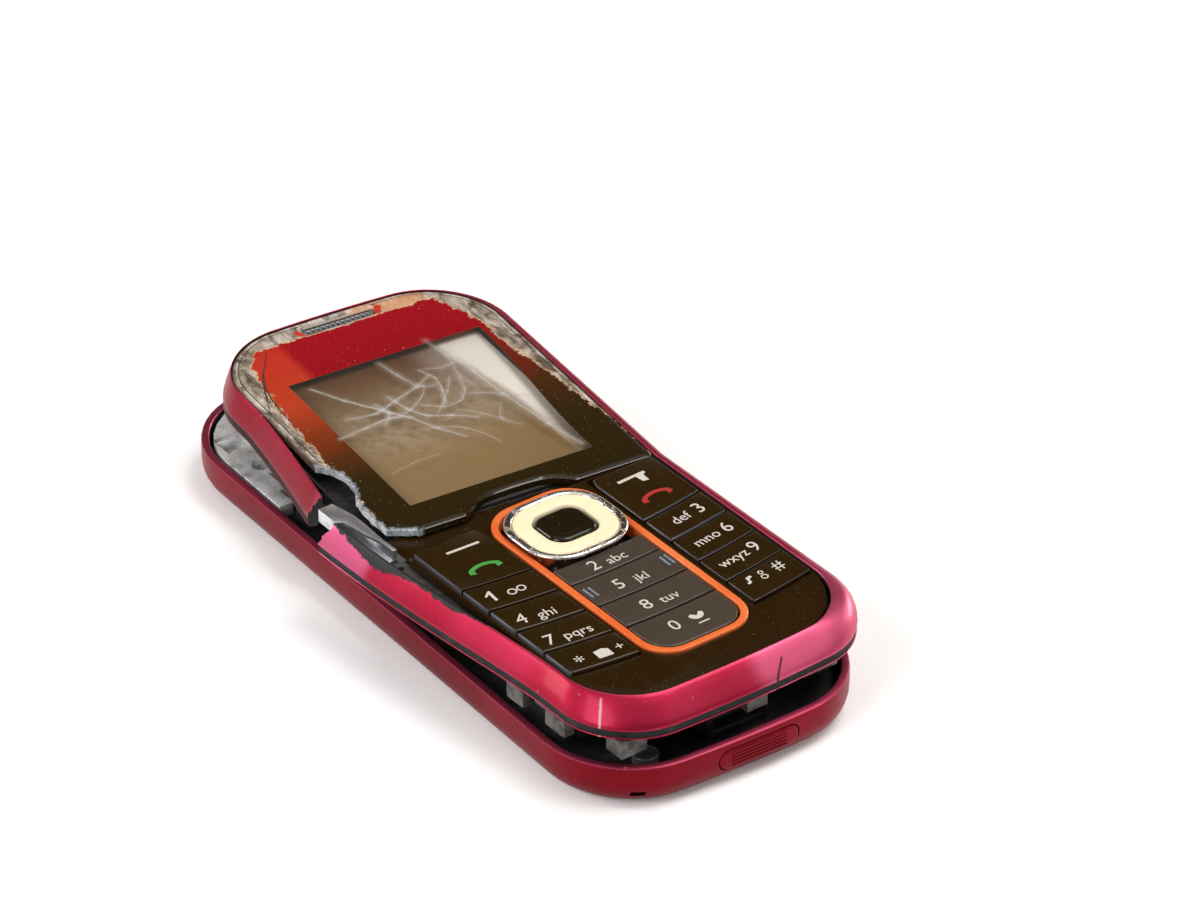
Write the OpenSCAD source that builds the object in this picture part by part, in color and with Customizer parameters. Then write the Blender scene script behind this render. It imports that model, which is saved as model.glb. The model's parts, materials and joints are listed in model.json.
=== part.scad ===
// Candybar phone with a shattered display: the front is lifted off the rear shell,
// its left rail is snapped through and the upper half is kinked against the keypad half.
// Frame: origin at the middle of the shell's rest face, +Y towards the earpiece, +Z up.

/* [Body] */
// Length of the closed phone
body_l = 109.6; // [105:0.1:115]
// Width of the closed phone
body_w = 46.9; // [46:0.1:50]
// Radius of the four corners in plan
corner_r = 13; // [11:0.5:14]
// How far each end bulges past a straight line
end_bulge = 1.2; // [0.5:0.1:2]

/* [Rear shell] */
// Height of the rear shell
shell_h = 6.6; // [6.2:0.1:8]
// Wall thickness of the rear shell
shell_wall = 1.2; // [1:0.1:1.6]
// Radius where the shell's wall meets its floor
shell_r = 3.6; // [2.5:0.1:4]

/* [Damage] */
// Height of the key plane above the rest face, with the front lifted
key_plane = 16.0; // [15.9:0.1:18]
// Turn of the keypad half on the shell
lower_yaw = 2.4; // [0:0.1:3]
// Turn of the display half against the keypad half
kink = 6.6; // [3:0.1:8]
// How far the lower stub of the left rail stands out at the break
lower_splay = 3.2; // [1:0.1:4]
// How far the upper stub of the left rail stands out at the break
upper_splay = 2.8; // [1:0.1:3]

/* [Front] */
// Height of the front frame
frame_h = 5.0; // [4.6:0.1:5.2]
// Width of the frame's side rails
rail_w = 2.6; // [2.2:0.1:2.8]
// Width of the frame's chin band
chin_w = 3.4; // [3:0.1:4.5]
// How much shorter than the shell the front is
front_short = 4.5; // [3.5:0.1:5]
// How much narrower than the shell the front is at its top, on each side
front_taper = 0.85; // [0.3:0.05:1]
// Thickness of the display lens
lens_t = 1.2; // [0.9:0.1:1.3]

/* [Display] */
// Width of the visible window
window_w = 28.8; // [27:0.1:30]
// Height of the visible window
window_l = 34.9; // [33:0.1:36]
// Distance from the top of the keypad to the middle of the window
window_y = 23.4; // [22.5:0.1:25]

/* [Keypad] */
// Distance from the keypad's top edge to the chin's end
keypad_l = 49.3; // [49:0.1:52]
// Outer edge of the side keys from the centre line
key_out = 20.15; // [19:0.05:20.3]
// Inner edge of the side keys from the centre line
key_in = 9.6; // [9.5:0.05:11]
// Pitch of the key rows
row_pitch = 6.08; // [5.8:0.01:6.2]
// Depth of the soft key blocks at the centre line
block_l = 12.85; // [12:0.05:13.5]
// Gap between neighbouring keys
key_gap = 0.35; // [0.2:0.05:0.6]
// Travel of a key onto its dome
key_travel = 0.35; // [0.2:0.05:0.4]

/* [Battery] */
// Width of the battery
battery_w = 34; // [30:0.5:35]
// Length of the battery
battery_l = 50; // [45:0.5:53]
// Thickness of the battery
battery_t = 4.6; // [4:0.1:5]

/* [Hidden] */
$fn = 48;
e = 0.01;                                 // overshoot that keeps cuts clean
seat = 0.05;                              // air between stacked pieces
fit = 0.3;                                // air between pieces that face each other sideways
half_w = body_w / 2;
arc_n = 7;                                // segments in a quarter corner
side_n = 9;                               // segments along a side
end_n = 6;                                // segments along an end

// Heights of the stack, from the rest face up
floor_z = shell_wall - 0.1;
chassis_z0 = floor_z + seat;
chassis_z1 = 4.1;
post_z1 = key_plane - 6.6;
board_z0 = post_z1 + seat * 2;
board_t = 0.8;
board_z1 = board_z0 + board_t;
dome_z0 = board_z1 + seat;
dome_t = 0.15;
dome_bump = 0.12;
guide_z0 = dome_z0 + 0.4;
guide_t = 0.85;
mat_z0 = guide_z0 + guide_t + 0.1;
mat_t = 1.0;
frame_z1 = key_plane - 0.1;
frame_z0 = key_plane - frame_h;
plate_z1 = key_plane - 0.5;
plate_t = 1.5;
plate_z0 = plate_z1 - plate_t;
ledge_t = 0.95;
ledge_z0 = plate_z0 - seat - ledge_t;
lens_z1 = key_plane - 0.1;
lens_z0 = lens_z1 - lens_t;
gasket_t = 0.6;
bezel_z0 = board_z1 + 0.3;
bezel_z1 = lens_z0 - gasket_t - seat * 2;
side_top = key_plane;                     // top of the side keys
centre_top = key_plane - 0.25;            // top of the centre keys
key_z0 = mat_z0 + mat_t + key_travel + seat;
plunger_r = 1.2;
plunger_z0 = dome_z0 + dome_t + dome_bump + key_travel + seat;
hole_r = plunger_r + 0.4;

// Plan of the front, in the closed phone: y = 0 is the keypad's top edge
hinge_x = 20.4;                           // the kink turns about this point of the right rail
front_x = -0.5;
front_y = -4.5;
part_gap = 0.1;                           // air between the frame and what lies inside it
plate_hw = half_w - rail_w - part_gap;
plate_bottom = -(keypad_l - chin_w);
lens_hw = half_w - rail_w - part_gap;
lens_y0 = 0.25;
front_top = body_l - keypad_l - front_short;
top_w = 0.9;                              // width of the frame along the top
lens_y1 = front_top - top_w - part_gap;
break_low = 12.2;                         // top of the lower stub of the left rail, inside
break_high = 13.6;                        // end of the upper stub, inside
low_tip = 2.1;                            // the outer side of the lower stub reaches past the inner by this
high_tip = 1.2;                           // the outer side of the upper stub stops short by this
splay_low_end = -33;                      // the lower rail is straight below this
splay_high_end = 38;                      // the upper rail is straight above this
ledge_w = 1.3;                            // ledge under the chin of the face plate
side_ledge = 0.4;                         // ledge along the sides

// Keypad
smile = 1.8;                              // how much the rows rise towards the sides
trim_out = 8.75;
trim_in = 7.65;
trim_y1 = 1.7;
trim_y0 = -39.8;
centre_hw = trim_in - 0.25;
nav_y = -7.4;
nav_w = 16;
nav_l = 14.8;
nav_r = 5.8;
nav_skirt = 0.85;                         // the skirt is narrower than the rim by this
nav_top = key_plane + 1.0;
select_w = 7.6;
select_l = 7.0;
select_r = 2.2;
nav_tilt_gap = 0.35;
actuator_t = 0.6;
actuator_z0 = mat_z0 + mat_t + nav_tilt_gap;
actuator_z1 = actuator_z0 + actuator_t;
nav_z0 = actuator_z1 + 0.3;
nav_rim_z0 = key_plane + 0.3;

// Battery bay and posts in the rear chassis
battery_y = -8;
battery_z0 = floor_z + 0.2;
bay_fit = 0.35;
post_r = 2.0;
post_x = 18.4;
skirt_t = 0.6;                            // rim of the chassis, above the shell's round
post_ys = [-38, -12, 24];
screw_r = 0.5;
screw_head_r = 1.4;

// Corner parts
carrier_z0 = chassis_z1 + seat;
carrier_z1 = shell_h - 0.3;
speaker_x = 7;
speaker_y = 41;
speaker_r = 6.4;
motor_x = -9;
motor_y = 40;
motor_r = 4.8;

// ---- plan functions ----

function arc_pts(cx, cy, r, a0, a1) =
    [for (i = [0:arc_n]) let (a = a0 + (a1 - a0) * i / arc_n) [cx + r * cos(a), cy + r * sin(a)]];

function run_pts(p, q, n) = [for (i = [1:n - 1]) p + (q - p) * i / n];

// Rounded outline from the lower right corner's start, counter-clockwise, without the bulge
function round_rect(hw, y0, y1, r0, r1) = concat(
    arc_pts(hw - r0, y0 + r0, r0, -90, 0),
    run_pts([hw, y0 + r0], [hw, y1 - r1], side_n),
    arc_pts(hw - r1, y1 - r1, r1, 0, 90),
    run_pts([hw - r1, y1], [r1 - hw, y1], end_n),
    arc_pts(r1 - hw, y1 - r1, r1, 90, 180),
    run_pts([-hw, y1 - r1], [-hw, y0 + r0], side_n),
    arc_pts(r0 - hw, y0 + r0, r0, 180, 270),
    run_pts([r0 - hw, y0], [hw - r0, y0], end_n));

function bulged(pts, hw, b) =
    [for (p = pts) [p.x, p.y + sign(p.y) * b * (1 - pow(min(1, abs(p.x) / hw), 2))]];

// Outline of the closed phone, pulled in by d
function body_outline(d) =
    bulged(round_rect(half_w - d, d + end_bulge - body_l / 2, body_l / 2 - end_bulge - d,
        max(1, corner_r - d), max(1, corner_r - d)), half_w, end_bulge);

function at_z(pts, z) = [for (p = pts) [p.x, p.y, z]];

// Closed skin through rings of equal length, each a list of points, capped at both ends
module loft(rings) {
    n = len(rings[0]);
    last = len(rings) - 1;
    sides = [for (k = [0:last - 1], i = [0:n - 1])
        [k * n + i, (k + 1) * n + i, (k + 1) * n + (i + 1) % n, k * n + (i + 1) % n]];
    start = [for (i = [0:n - 1]) i];
    finish = [for (i = [0:n - 1]) last * n + n - 1 - i];
    polyhedron([for (r = rings, p = r) p], concat([start], sides, [finish]), convexity = 10);
}

module plate(pts, z0, z1) {
    translate([0, 0, z0]) linear_extrude(z1 - z0) polygon(pts);
}

module box(x0, x1, y0, y1, z0, z1) {
    translate([x0, y0, z0]) cube([x1 - x0, y1 - y0, z1 - z0]);
}

module rod(x, y, r, z0, z1) {
    translate([x, y, z0]) cylinder(r = r, h = z1 - z0);
}

// The keypad half's own frame, and the display half's
module lower_half() {
    translate([front_x, front_y, 0]) rotate([0, 0, lower_yaw]) children();
}

module upper_half() {
    lower_half() translate([hinge_x, 0, 0]) rotate([0, 0, -kink]) translate([-hinge_x, 0, 0]) children();
}

// ---- rear half ----

module rear_shell() {
    arc_a = [90, 60, 30, 0];
    inner_r = shell_r - shell_wall;
    outside = [for (a = arc_a) at_z(body_outline(shell_r * (1 - cos(a))), shell_r * (1 - sin(a)))];
    inside = [for (a = [0, 30, 60, 90])
        at_z(body_outline(shell_wall + inner_r * (1 - cos(a))), floor_z + inner_r * (1 - sin(a)))];
    color("crimson") difference() {
        loft(concat(outside, [at_z(body_outline(0), shell_h), at_z(body_outline(shell_wall), shell_h)],
            inside));
        end_cover_shape(cover_fit);
        box(slot_x - slot_w / 2, slot_x + slot_w / 2, -body_l / 2 - e, -body_l / 2 + slot_depth,
            slot_z - slot_h / 2, slot_z + slot_h / 2);
    }
}

cover_x = 1.5;
cover_w = 13;
cover_h = 3.2;
cover_z = 3.9;
cover_t = 1.5;
cover_fit = 0.08;
slot_x = -16.5;
slot_w = 1.8;
slot_h = 0.8;
slot_z = 2.3;
slot_depth = 4.6;                         // the end curves away here
mic_x = -13;
mic_r = 1.8;

// Oval plug, lying along X, grown by g
module end_cover_shape(g) {
    r = cover_h / 2 + g;
    flat = cover_w / 2 - cover_h / 2;
    translate([cover_x, g - body_l / 2 + cover_t, cover_z]) rotate([90, 0, 0])
        linear_extrude(cover_t + g * 2) union() {
        translate([-flat, 0]) circle(r = r);
        translate([flat, 0]) circle(r = r);
        translate([-flat, -r]) square([flat * 2, r * 2]);
    }
}

module end_cover() {
    rib_n = 5;
    rib_h = 0.25;
    color("firebrick") union() {
        end_cover_shape(0);
        for (i = [0:rib_n - 1])
            box(cover_x - cover_w / 2 + 2, cover_x + cover_w / 2 - 2, -body_l / 2 - rib_h, -body_l / 2 + e,
                cover_z + (i - 2) * 0.55 - 0.12, cover_z + (i - 2) * 0.55 + 0.12);
    }
}

module rear_chassis() {
    low_inset = shell_r + 0.3;
    color("#15141a") difference() {
        union() {
            plate(body_outline(low_inset), chassis_z0, chassis_z1);
            plate(body_outline(shell_wall + fit), chassis_z1 - skirt_t, chassis_z1);
            for (x = [-post_x, post_x], y = post_ys) rod(x, y, post_r, chassis_z1 - skirt_t, post_z1);
        }
        box(-battery_w / 2 - bay_fit, battery_w / 2 + bay_fit, battery_y - battery_l / 2 - bay_fit,
            battery_y + battery_l / 2 + bay_fit, 0, shell_h);
        rod(speaker_x, speaker_y, speaker_r + fit, 0, shell_h);
        rod(motor_x, motor_y, motor_r + fit, 0, shell_h);
        for (x = [-post_x, post_x], y = post_ys) rod(x, y, screw_r + 0.02, screw_z0 - fit, post_z1 + e);
    }
}

// Moulded carrier over the top end, with a tail down the left side
module antenna_carrier() {
    inset = shell_wall + 0.6;
    hole_x = -18.0;
    hole_y = 37.5;
    color("#d8d2c4") difference() {
        intersection() {
            plate(body_outline(inset), carrier_z0, carrier_z1);
            union() {
                box(-half_w, half_w, 35, body_l / 2, 0, shell_h);
                box(-half_w, -19.3, 27, 36, 0, shell_h);
                box(-half_w, -18.3, 30.5, 36, 0, shell_h);
            }
        }
        rod(hole_x, hole_y, 1.3, 0, shell_h);
        box(-14, half_w, 0, 44.5, 0, shell_h);
        rod(speaker_x, speaker_y, speaker_r - 2 + fit, 0, shell_h);
        box(-20.2, -15.5, 42.5, 46.5, carrier_z1 - 0.8, shell_h);
    }
}

module battery() {
    r = 1.2;
    color("#9aa0a6") plate(round_rect(battery_w / 2, battery_y - battery_l / 2,
        battery_y + battery_l / 2, r, r), battery_z0, battery_z0 + battery_t);
}

module battery_contacts() {
    y0 = battery_y + battery_l / 2 - 3.5;
    z0 = battery_z0 + battery_t;
    finger_h = 1.2;
    color("#c9a227") union() {
        box(-5, 5, y0, y0 + 3, z0 + finger_h, board_z0 - seat);
        for (x = [-3, 0, 3]) box(x - 0.5, x + 0.5, y0 + 0.5, y0 + 2.5, z0 + seat, z0 + finger_h + e);
    }
}

module loudspeaker() {
    color("#3c3c40") union() {
        rod(speaker_x, speaker_y, speaker_r, chassis_z0, chassis_z1);
        rod(speaker_x, speaker_y, speaker_r - 2, chassis_z1 - e, chassis_z1 + 0.5);
    }
}

module vibration_motor() {
    color("silver") rod(motor_x, motor_y, motor_r, chassis_z0, chassis_z1);
}

module microphone() {
    color("#b8b8bc") rod(mic_x, 4 + mic_r - body_l / 2, mic_r, chassis_z1 + seat, chassis_z1 + 1.6);
}

module system_connector() {
    y0 = 5 - body_l / 2;
    color("#2c2c30") difference() {
        box(cover_x - 5, cover_x + 5, y0, y0 + 6, chassis_z1 + seat, chassis_z1 + 4);
        box(cover_x - 4, cover_x + 4, y0 - e, y0 + 3, chassis_z1 + 1, chassis_z1 + 2.8);
    }
}

board_hw = 17.6;
board_ear = 20.4;
screw_z0 = chassis_z1 + fit;
board_y0 = -43.5;
board_y1 = 46.5;

module circuit_board() {
    color("#1f5a3a") difference() {
        union() {
            box(-board_hw, board_hw, board_y0, board_y1, board_z0, board_z1);
            for (y = post_ys) box(-board_ear, board_ear, y - 2.4, y + 2.4, board_z0, board_z1);
        }
        for (x = [-post_x, post_x], y = post_ys) rod(x, y, screw_head_r + 0.1, board_z0 - e, board_z1 + e);
    }
}

module shield_cans() {
    can_h = 1.7;
    color("#b9bcc0") {
        box(-14, -1, 18, 31, board_z0 - seat - can_h, board_z0 - seat);
        box(1, 15, 20, 32, board_z0 - seat - can_h, board_z0 - seat);
        box(-14, 8, -40, -28, board_z0 - seat - can_h, board_z0 - seat);
    }
}

module sim_holder() {
    t = 0.3;
    h = 1.4;
    color("#cfd2d6") difference() {
        box(-13, 13, -22, -6, board_z0 - seat - h, board_z0 - seat);
        box(-13 + t, 13 - t, -22 - e, -6 - t, board_z0 - seat - h + t, board_z0 - seat - t);
        box(-8, 8, -18, -10, board_z0 - h - 1, board_z0 - seat - h + t + e);
    }
}

module board_screws() {
    head_h = 0.7;
    color("#6d6f75") for (x = [-post_x, post_x], y = post_ys) difference() {
        union() {
            rod(x, y, screw_head_r, post_z1, post_z1 + head_h);
            rod(x, y, screw_r, screw_z0, post_z1 + e);
        }
        translate([x, y, post_z1 + head_h - 0.35]) cylinder(r = 0.6, h = 1, $fn = 6);
    }
}

// ---- front frame: one moulded ring, swept from the lower stub round to the upper stub ----

// Sideways push of the left rail at height y of the closed phone, on the lower stub's side or the upper's
function splay(y, low) = low
    ? lower_splay * pow(sin(90 * max(0, min(1, (y - splay_low_end) / (break_low - splay_low_end)))), 1.3)
    : upper_splay * pow(max(0, (splay_high_end - y) / (splay_high_end - break_high)), 1.3);

function turned(p, a) = [p.x * cos(a) - p.y * sin(a), p.x * sin(a) + p.y * cos(a)];

// From the closed phone's plan to the broken one's; past the keypad's top edge the kink applies
function kinked(p, low) = p.y > 0 && !(low && p.x < 0)
    ? turned(p - [hinge_x, 0], -kink) + [hinge_x, 0] : p;

function placed(p, low) = turned(kinked(p, low), lower_yaw) + [front_x, front_y];

function pushed(p, low) = p.x < 0 ? [p.x - splay(p.y, low) * min(1, -p.x / (half_w - rail_w)), p.y] : p;

// The outer edge and the inner wall are paths with the same number of stations
frame_r0 = 10.5;
frame_r1 = 13;
inner_r0 = 9.5;
inner_r1 = 11.2;
low_n = 9;
high_n = 8;
low_y = frame_r0 - keypad_l;
high_y = front_top - frame_r1 - end_bulge;
top_hw = half_w - front_taper;

function side_x(y) = half_w - front_taper * (y - low_y) / (high_y - low_y);

function outer_path() = bulged(concat(
    [for (i = [0:low_n - 1]) let (tip = break_low + low_tip, y = tip + (low_y - tip) * i / low_n)
        [-side_x(y), y]],
    arc_pts(frame_r0 - half_w, low_y + end_bulge, frame_r0, 180, 270),
    run_pts([frame_r0 - half_w, end_bulge - keypad_l], [half_w - frame_r0, end_bulge - keypad_l], end_n),
    arc_pts(half_w - frame_r0, low_y + end_bulge, frame_r0, -90, 0),
    run_pts([half_w, low_y], [top_hw, high_y], side_n + 3),
    arc_pts(top_hw - frame_r1, high_y, frame_r1, 0, 90),
    run_pts([top_hw - frame_r1, high_y + frame_r1], [frame_r1 - top_hw, high_y + frame_r1], end_n),
    arc_pts(frame_r1 - top_hw, high_y, frame_r1, 90, 180),
    [for (i = [1:high_n]) let (tip = break_high + high_tip, y = high_y + (tip - high_y) * i / high_n)
        [-side_x(y), y]]),
    half_w, end_bulge);

function inner_path(w, chin, top) = let (hw = half_w - w, y0 = chin - keypad_l, y1 = front_top - top)
    bulged(concat(
    [for (i = [0:low_n - 1]) [-hw, break_low + (inner_r0 + y0 - break_low) * i / low_n]],
    arc_pts(inner_r0 - hw, inner_r0 + y0 + end_bulge, inner_r0, 180, 270),
    run_pts([inner_r0 - hw, y0 + end_bulge], [hw - inner_r0, y0 + end_bulge], end_n),
    arc_pts(hw - inner_r0, inner_r0 + y0 + end_bulge, inner_r0, -90, 0),
    run_pts([hw, inner_r0 + y0], [hw, y1 - inner_r1 - end_bulge], side_n + 3),
    arc_pts(hw - inner_r1, y1 - inner_r1 - end_bulge, inner_r1, 0, 90),
    run_pts([hw - inner_r1, y1 - end_bulge], [inner_r1 - hw, y1 - end_bulge], end_n),
    arc_pts(inner_r1 - hw, y1 - inner_r1 - end_bulge, inner_r1, 90, 180),
    [for (i = [1:high_n]) let (y = y1 - inner_r1 - end_bulge) [-hw, y + (break_high - y) * i / high_n]]),
    half_w, end_bulge);

// How far the rail's face is a flat facet instead of a round:
// 1 along the chin and the left side, 0 at the right and the top
facet_fade = half_w * 0.4;
chin_fade_x = half_w * 0.95;
function facet(p) = max(0, min(1, ((p.y < low_y ? chin_fade_x : -facet_fade) - p.x) / facet_fade));

// Section across the rail: u = 0 at the outer edge, 1 at the inner wall, 2 at the ledge's lip
function rail_section(f) = concat(
    [[0.06, frame_z0], [0, frame_z0 + 0.5], [0, frame_z0 + 1.4]],
    [for (k = [0:3]) [round_u[k] + (flat_u[k] - round_u[k]) * f,
        frame_z1 - round_drop[k] - (flat_drop[k] - round_drop[k]) * f]],
    [[1, frame_z1], [1, ledge_z0 + ledge_t], [2, ledge_z0 + ledge_t], [2, ledge_z0], [1, ledge_z0],
        [1, frame_z0 + 1.2], [0.6, frame_z0]]);
round_u = [0.04, 0.18, 0.42, 0.75];
round_drop = [2.2, 1.2, 0.45, 0.06];
flat_u = [0.05, 0.30, 0.62, 0.90];
flat_drop = [3.1, 2.1, 0.95, 0.08];

module front_frame() {
    outer = outer_path();
    inner = inner_path(rail_w, chin_w, top_w);
    ledge = inner_path(rail_w + side_ledge, chin_w + ledge_w, top_w + side_ledge);
    stations = len(outer);
    across = [for (i = [0:stations - 1]) [for (s = rail_section(facet(outer[i])))
        let (rail = outer[i] + (inner[i] - outer[i]) * s[0],
            shelf = inner[i] + (ledge[i] - inner[i]) * (s[0] - 1),
            low = i < stations / 2,
            q = placed(pushed(s[0] <= 1 ? rail : shelf, low), low))
        [q.x, q.y, s[1]]]];
    color("#a8142d") loft(across);
}

// ---- display half ----

ear_y = front_top - 3.4;                  // middle of the earpiece slot

module display_lens() {
    notch_hw = 8.6;
    slot_hw = 5.7;
    slot_half = 0.75;
    square = round_rect(lens_hw, lens_y0, lens_y1 - end_bulge, 0.6, inner_r1 + 0.1);
    outline = bulged(square, half_w, end_bulge);
    broken = [[-lens_hw - 1, 21.2], [-lens_hw - 0.02, 21.2], [-lens_hw + 1.7, 18.8], [-lens_hw + 2.2, 16.2],
        [-lens_hw + 1.9, 13.6], [-lens_hw + 0.5, 10.9], [-lens_hw + 0.35, 6.1], [-lens_hw + 0.7, 2.4],
        [-lens_hw + 3.2, 0.9], [-lens_hw + 4.1, -1], [-lens_hw - 1, -1]];
    color("#7f7a6a", 0.6) upper_half() difference() {
        plate(outline, lens_z0, lens_z1);
        plate(broken, lens_z0 - e, lens_z1 + e);
        plate([[-notch_hw, -3], [notch_hw, -3], [notch_hw - 2.6, 2.3], [notch_hw - 4.6, 2.9],
            [4.6 - notch_hw, 2.9], [2.6 - notch_hw, 2.3]], lens_z0 - e, lens_z1 + e);
        box(-slot_hw, slot_hw, ear_y - slot_half, ear_y + slot_half, lens_z0 - e, lens_z1 + e);
    }
}

module window_ring(grow_out, grow_in, z0, z1) {
    difference() {
        box(-window_w / 2 - grow_out, window_w / 2 + grow_out, window_y - window_l / 2 - grow_out,
            window_y + window_l / 2 + grow_out, z0, z1);
        box(-window_w / 2 - grow_in, window_w / 2 + grow_in, window_y - window_l / 2 - grow_in,
            window_y + window_l / 2 + grow_in, z0 - e, z1 + e);
    }
}

bezel_grow = 3.6;
bezel_wall = 0.4;
glass_g = 2.2;                            // the front glass is larger than the window by this
flange_hw = lens_hw - 0.4;
flange_w = flange_hw - window_w / 2 - bezel_grow + 0.2;
flange_y0 = window_y - window_l / 2 - bezel_grow + 1;
flange_y1 = 40;

module lens_gasket() {
    color("#101010") upper_half()
        window_ring(bezel_grow - 0.2, glass_g + 0.2, bezel_z1 + seat, lens_z0 - seat);
}

module display_bezel() {
    color("#8d8f94") upper_half() union() {
        window_ring(bezel_grow, bezel_grow - bezel_wall, bezel_z0, bezel_z1);
        window_ring(bezel_grow, glass_g + 0.2, bezel_z1 - 0.3, bezel_z1);
        window_ring(bezel_grow, bezel_grow - 1.5, bezel_z0, bezel_z0 + 0.3);
        // Side flanges that close the gap beside the lens
        for (s = [-1, 1]) translate([s * (flange_hw + window_w / 2 + bezel_grow) / 2 - s * 0.1, 0, 0])
            box(-flange_w / 2, flange_w / 2, flange_y0, flange_y1, bezel_z1 - 1.8, bezel_z1 - 1.1);
    }
}

backlight_z0 = bezel_z0 + 0.35;
backlight_z1 = backlight_z0 + 0.7;
panel_z1 = bezel_z1 - 0.35;

module display_panel() {
    g = bezel_grow - bezel_wall - 0.2;
    color("#8f7550") upper_half() union() {
        box(-window_w / 2 - g, window_w / 2 + g, window_y - window_l / 2 - g, window_y + window_l / 2 + g,
            backlight_z1 + seat, panel_z1);
        // Front glass, up to the lens
        box(-window_w / 2 - glass_g, window_w / 2 + glass_g, window_y - window_l / 2 - glass_g,
            window_y + window_l / 2 + glass_g, panel_z1 - e, lens_z0 - seat);
    }
}

module display_backlight() {
    g = bezel_grow - bezel_wall - 0.2;
    color("#e8e8e0") upper_half() box(-window_w / 2 - g, window_w / 2 + g, window_y - window_l / 2 - g,
        window_y + window_l / 2 + g, backlight_z0, backlight_z1);
}

module display_flex() {
    color("#b5742a") upper_half() box(-6, 6, 7, 17, board_z1 + seat, board_z1 + 0.2);
}

module earpiece() {
    color("#333338") upper_half() difference() {
        box(-5.5, 5.5, ear_y - 2.7, ear_y + 2.0, lens_z0 - 3, lens_z0 - seat);
        box(-4.5, 4.5, ear_y - 0.6, ear_y + 0.6, lens_z0 - 1, lens_z0);
    }
}

module earpiece_grille() {
    pitch = 0.8;
    color("#8c8a86") upper_half() difference() {
        box(-5.6, 5.6, ear_y - 0.65, ear_y + 0.65, lens_z0 - seat, lens_z0 + 0.7);
        for (i = [-6:6])
            box(i * pitch - 0.2, i * pitch + 0.2, ear_y - 0.4, ear_y + 0.4, lens_z0 - 1, lens_z1);
    }
}

// Torn strip of bright sheet metal that bridged the rails at the break
module side_bracket() {
    z0 = ledge_z0 + ledge_t + seat;
    z1 = z0 + 2.0;
    t = 0.45;
    floor_strip = [[-23.85, 12.0], [-23.7, 9.0], [-23.2, 5.0], [-22.9, 2.2], [-21.3, 2.2], [-21.3, 6.5],
        [-21.2, 12.4], [-21.9, 16.6], [-24.1, 16.6], [-24.1, 12.9]];
    inner_wall = [[-21.9, 2.2], [-21.3, 2.2], [-21.4, 6.0], [-21.1, 10.0], [-21.1, 12.4], [-21.5, 12.4],
        [-21.6, 10.0], [-21.9, 6.0]];
    top_strip = [[-21.9, 5.2], [-21.4, 5.2], [-21.1, 10.0], [-21.1, 12.6], [-21.8, 16.6], [-24.1, 16.6],
        [-24.2, 13.0], [-23.1, 11.8], [-22.6, 8.0]];
    end_wall = [[-24.2, 13.0], [-23.8, 13.0], [-23.7, 16.6], [-24.1, 16.6]];
    color("#c8ccd2") lower_half() union() {
        plate(floor_strip, z0, z0 + t);
        plate(inner_wall, z0, z1);
        plate(top_strip, z1 - t, z1);
        plate(end_wall, z0, z1);
    }
}

// ---- keypad half ----

side_cx = (key_out + key_in) / 2;
function row_line(k, x) = -block_l - k * row_pitch + smile * pow(x / key_out, 2);
function row_mid(k) = (row_line(k, side_cx) + row_line(k + 1, side_cx)) / 2;
function centre_mid(k) = -block_l - (k + 0.5) * row_pitch;

soft_plunger_y = [-3.2, -8.8];
plungers = concat(
    [for (s = [-1, 1], y = soft_plunger_y) [s * side_cx, y]],
    [for (s = [-1, 1], k = [0:3]) [s * side_cx, row_mid(k)]],
    [for (k = [0:3]) [0, centre_mid(k) - (k == 0 ? 0.5 : 0)]],
    [[0, nav_y]]);
nav_plungers = [[-5.6, nav_y], [5.6, nav_y], [0, nav_y - 5.2], [0, nav_y + 5.2]];

guide_hw = 19.4;
guide_y0 = -43.2;
wall_x = -key_out - fit;
wall_y0 = -26;
wall_y1 = 1.9;
wall_foot = -2.4;                         // its foot stops short of the display half
wall_ys = [for (i = [0:8]) wall_y0 + (wall_y1 - wall_y0) * i / 8];

module light_guide() {
    clip_z0 = post_z1 - 0.9;
    arm_z1 = frame_z0 - seat;
    arm_hw = 1.2;
    rail_x = -half_w + rail_w + side_ledge + part_gap;
    color("#8c8a84") lower_half() union() {
        difference() {
            plate(round_rect(guide_hw, guide_y0, -0.2, 9, 0.5), guide_z0, guide_z0 + guide_t);
            for (p = plungers) rod(p.x, p.y, hole_r, guide_z0 - e, mat_z0);
            for (p = nav_plungers) rod(p.x, p.y, hole_r, guide_z0 - e, mat_z0);
        }
        // Side wall that the broken rail has come away from, with its lug
        difference() {
            union() {
                plate(concat([for (y = wall_ys) [rail_x - splay(y, true), y]],
                    [[wall_x, wall_y1], [wall_x, wall_y0]]), guide_z0, ledge_z0 + ledge_t);
                plate([[e - guide_hw, wall_y0], [e - guide_hw, wall_foot], [wall_x - 0.3, wall_foot],
                    [wall_x - 0.3, wall_y0 + 3]], guide_z0, guide_z0 + guide_t);
            }
            rod(-21.8, 0.6, 0.5, 0, key_plane);
        }
        // Clip blocks that held the shell, hanging below the frame
        for (c = [[-22.6, -27.5, 2.0, 3.6], [-22.5, -36.0, 1.7, 4.2], [-18.2, -44.9, 4.2, 3.4],
                [1.2, -47.2, 3.4, 1.8], [13.3, -45.4, 5.6, 2.0]]) {
            box(c[0] - c[2] / 2, c[0] + c[2] / 2, c[1] - c[3] / 2, c[1] + c[3] / 2, clip_z0, arm_z1);
            root = [c[0] * 0.72, c[1] * 0.9 + 1.6];
            plate([[c[0] - c[2] / 2, c[1]], [c[0] + c[2] / 2, c[1] - 0.4],
                root + [arm_hw, 0], root - [arm_hw, 0]], guide_z0, arm_z1);
        }
    }
}

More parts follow.
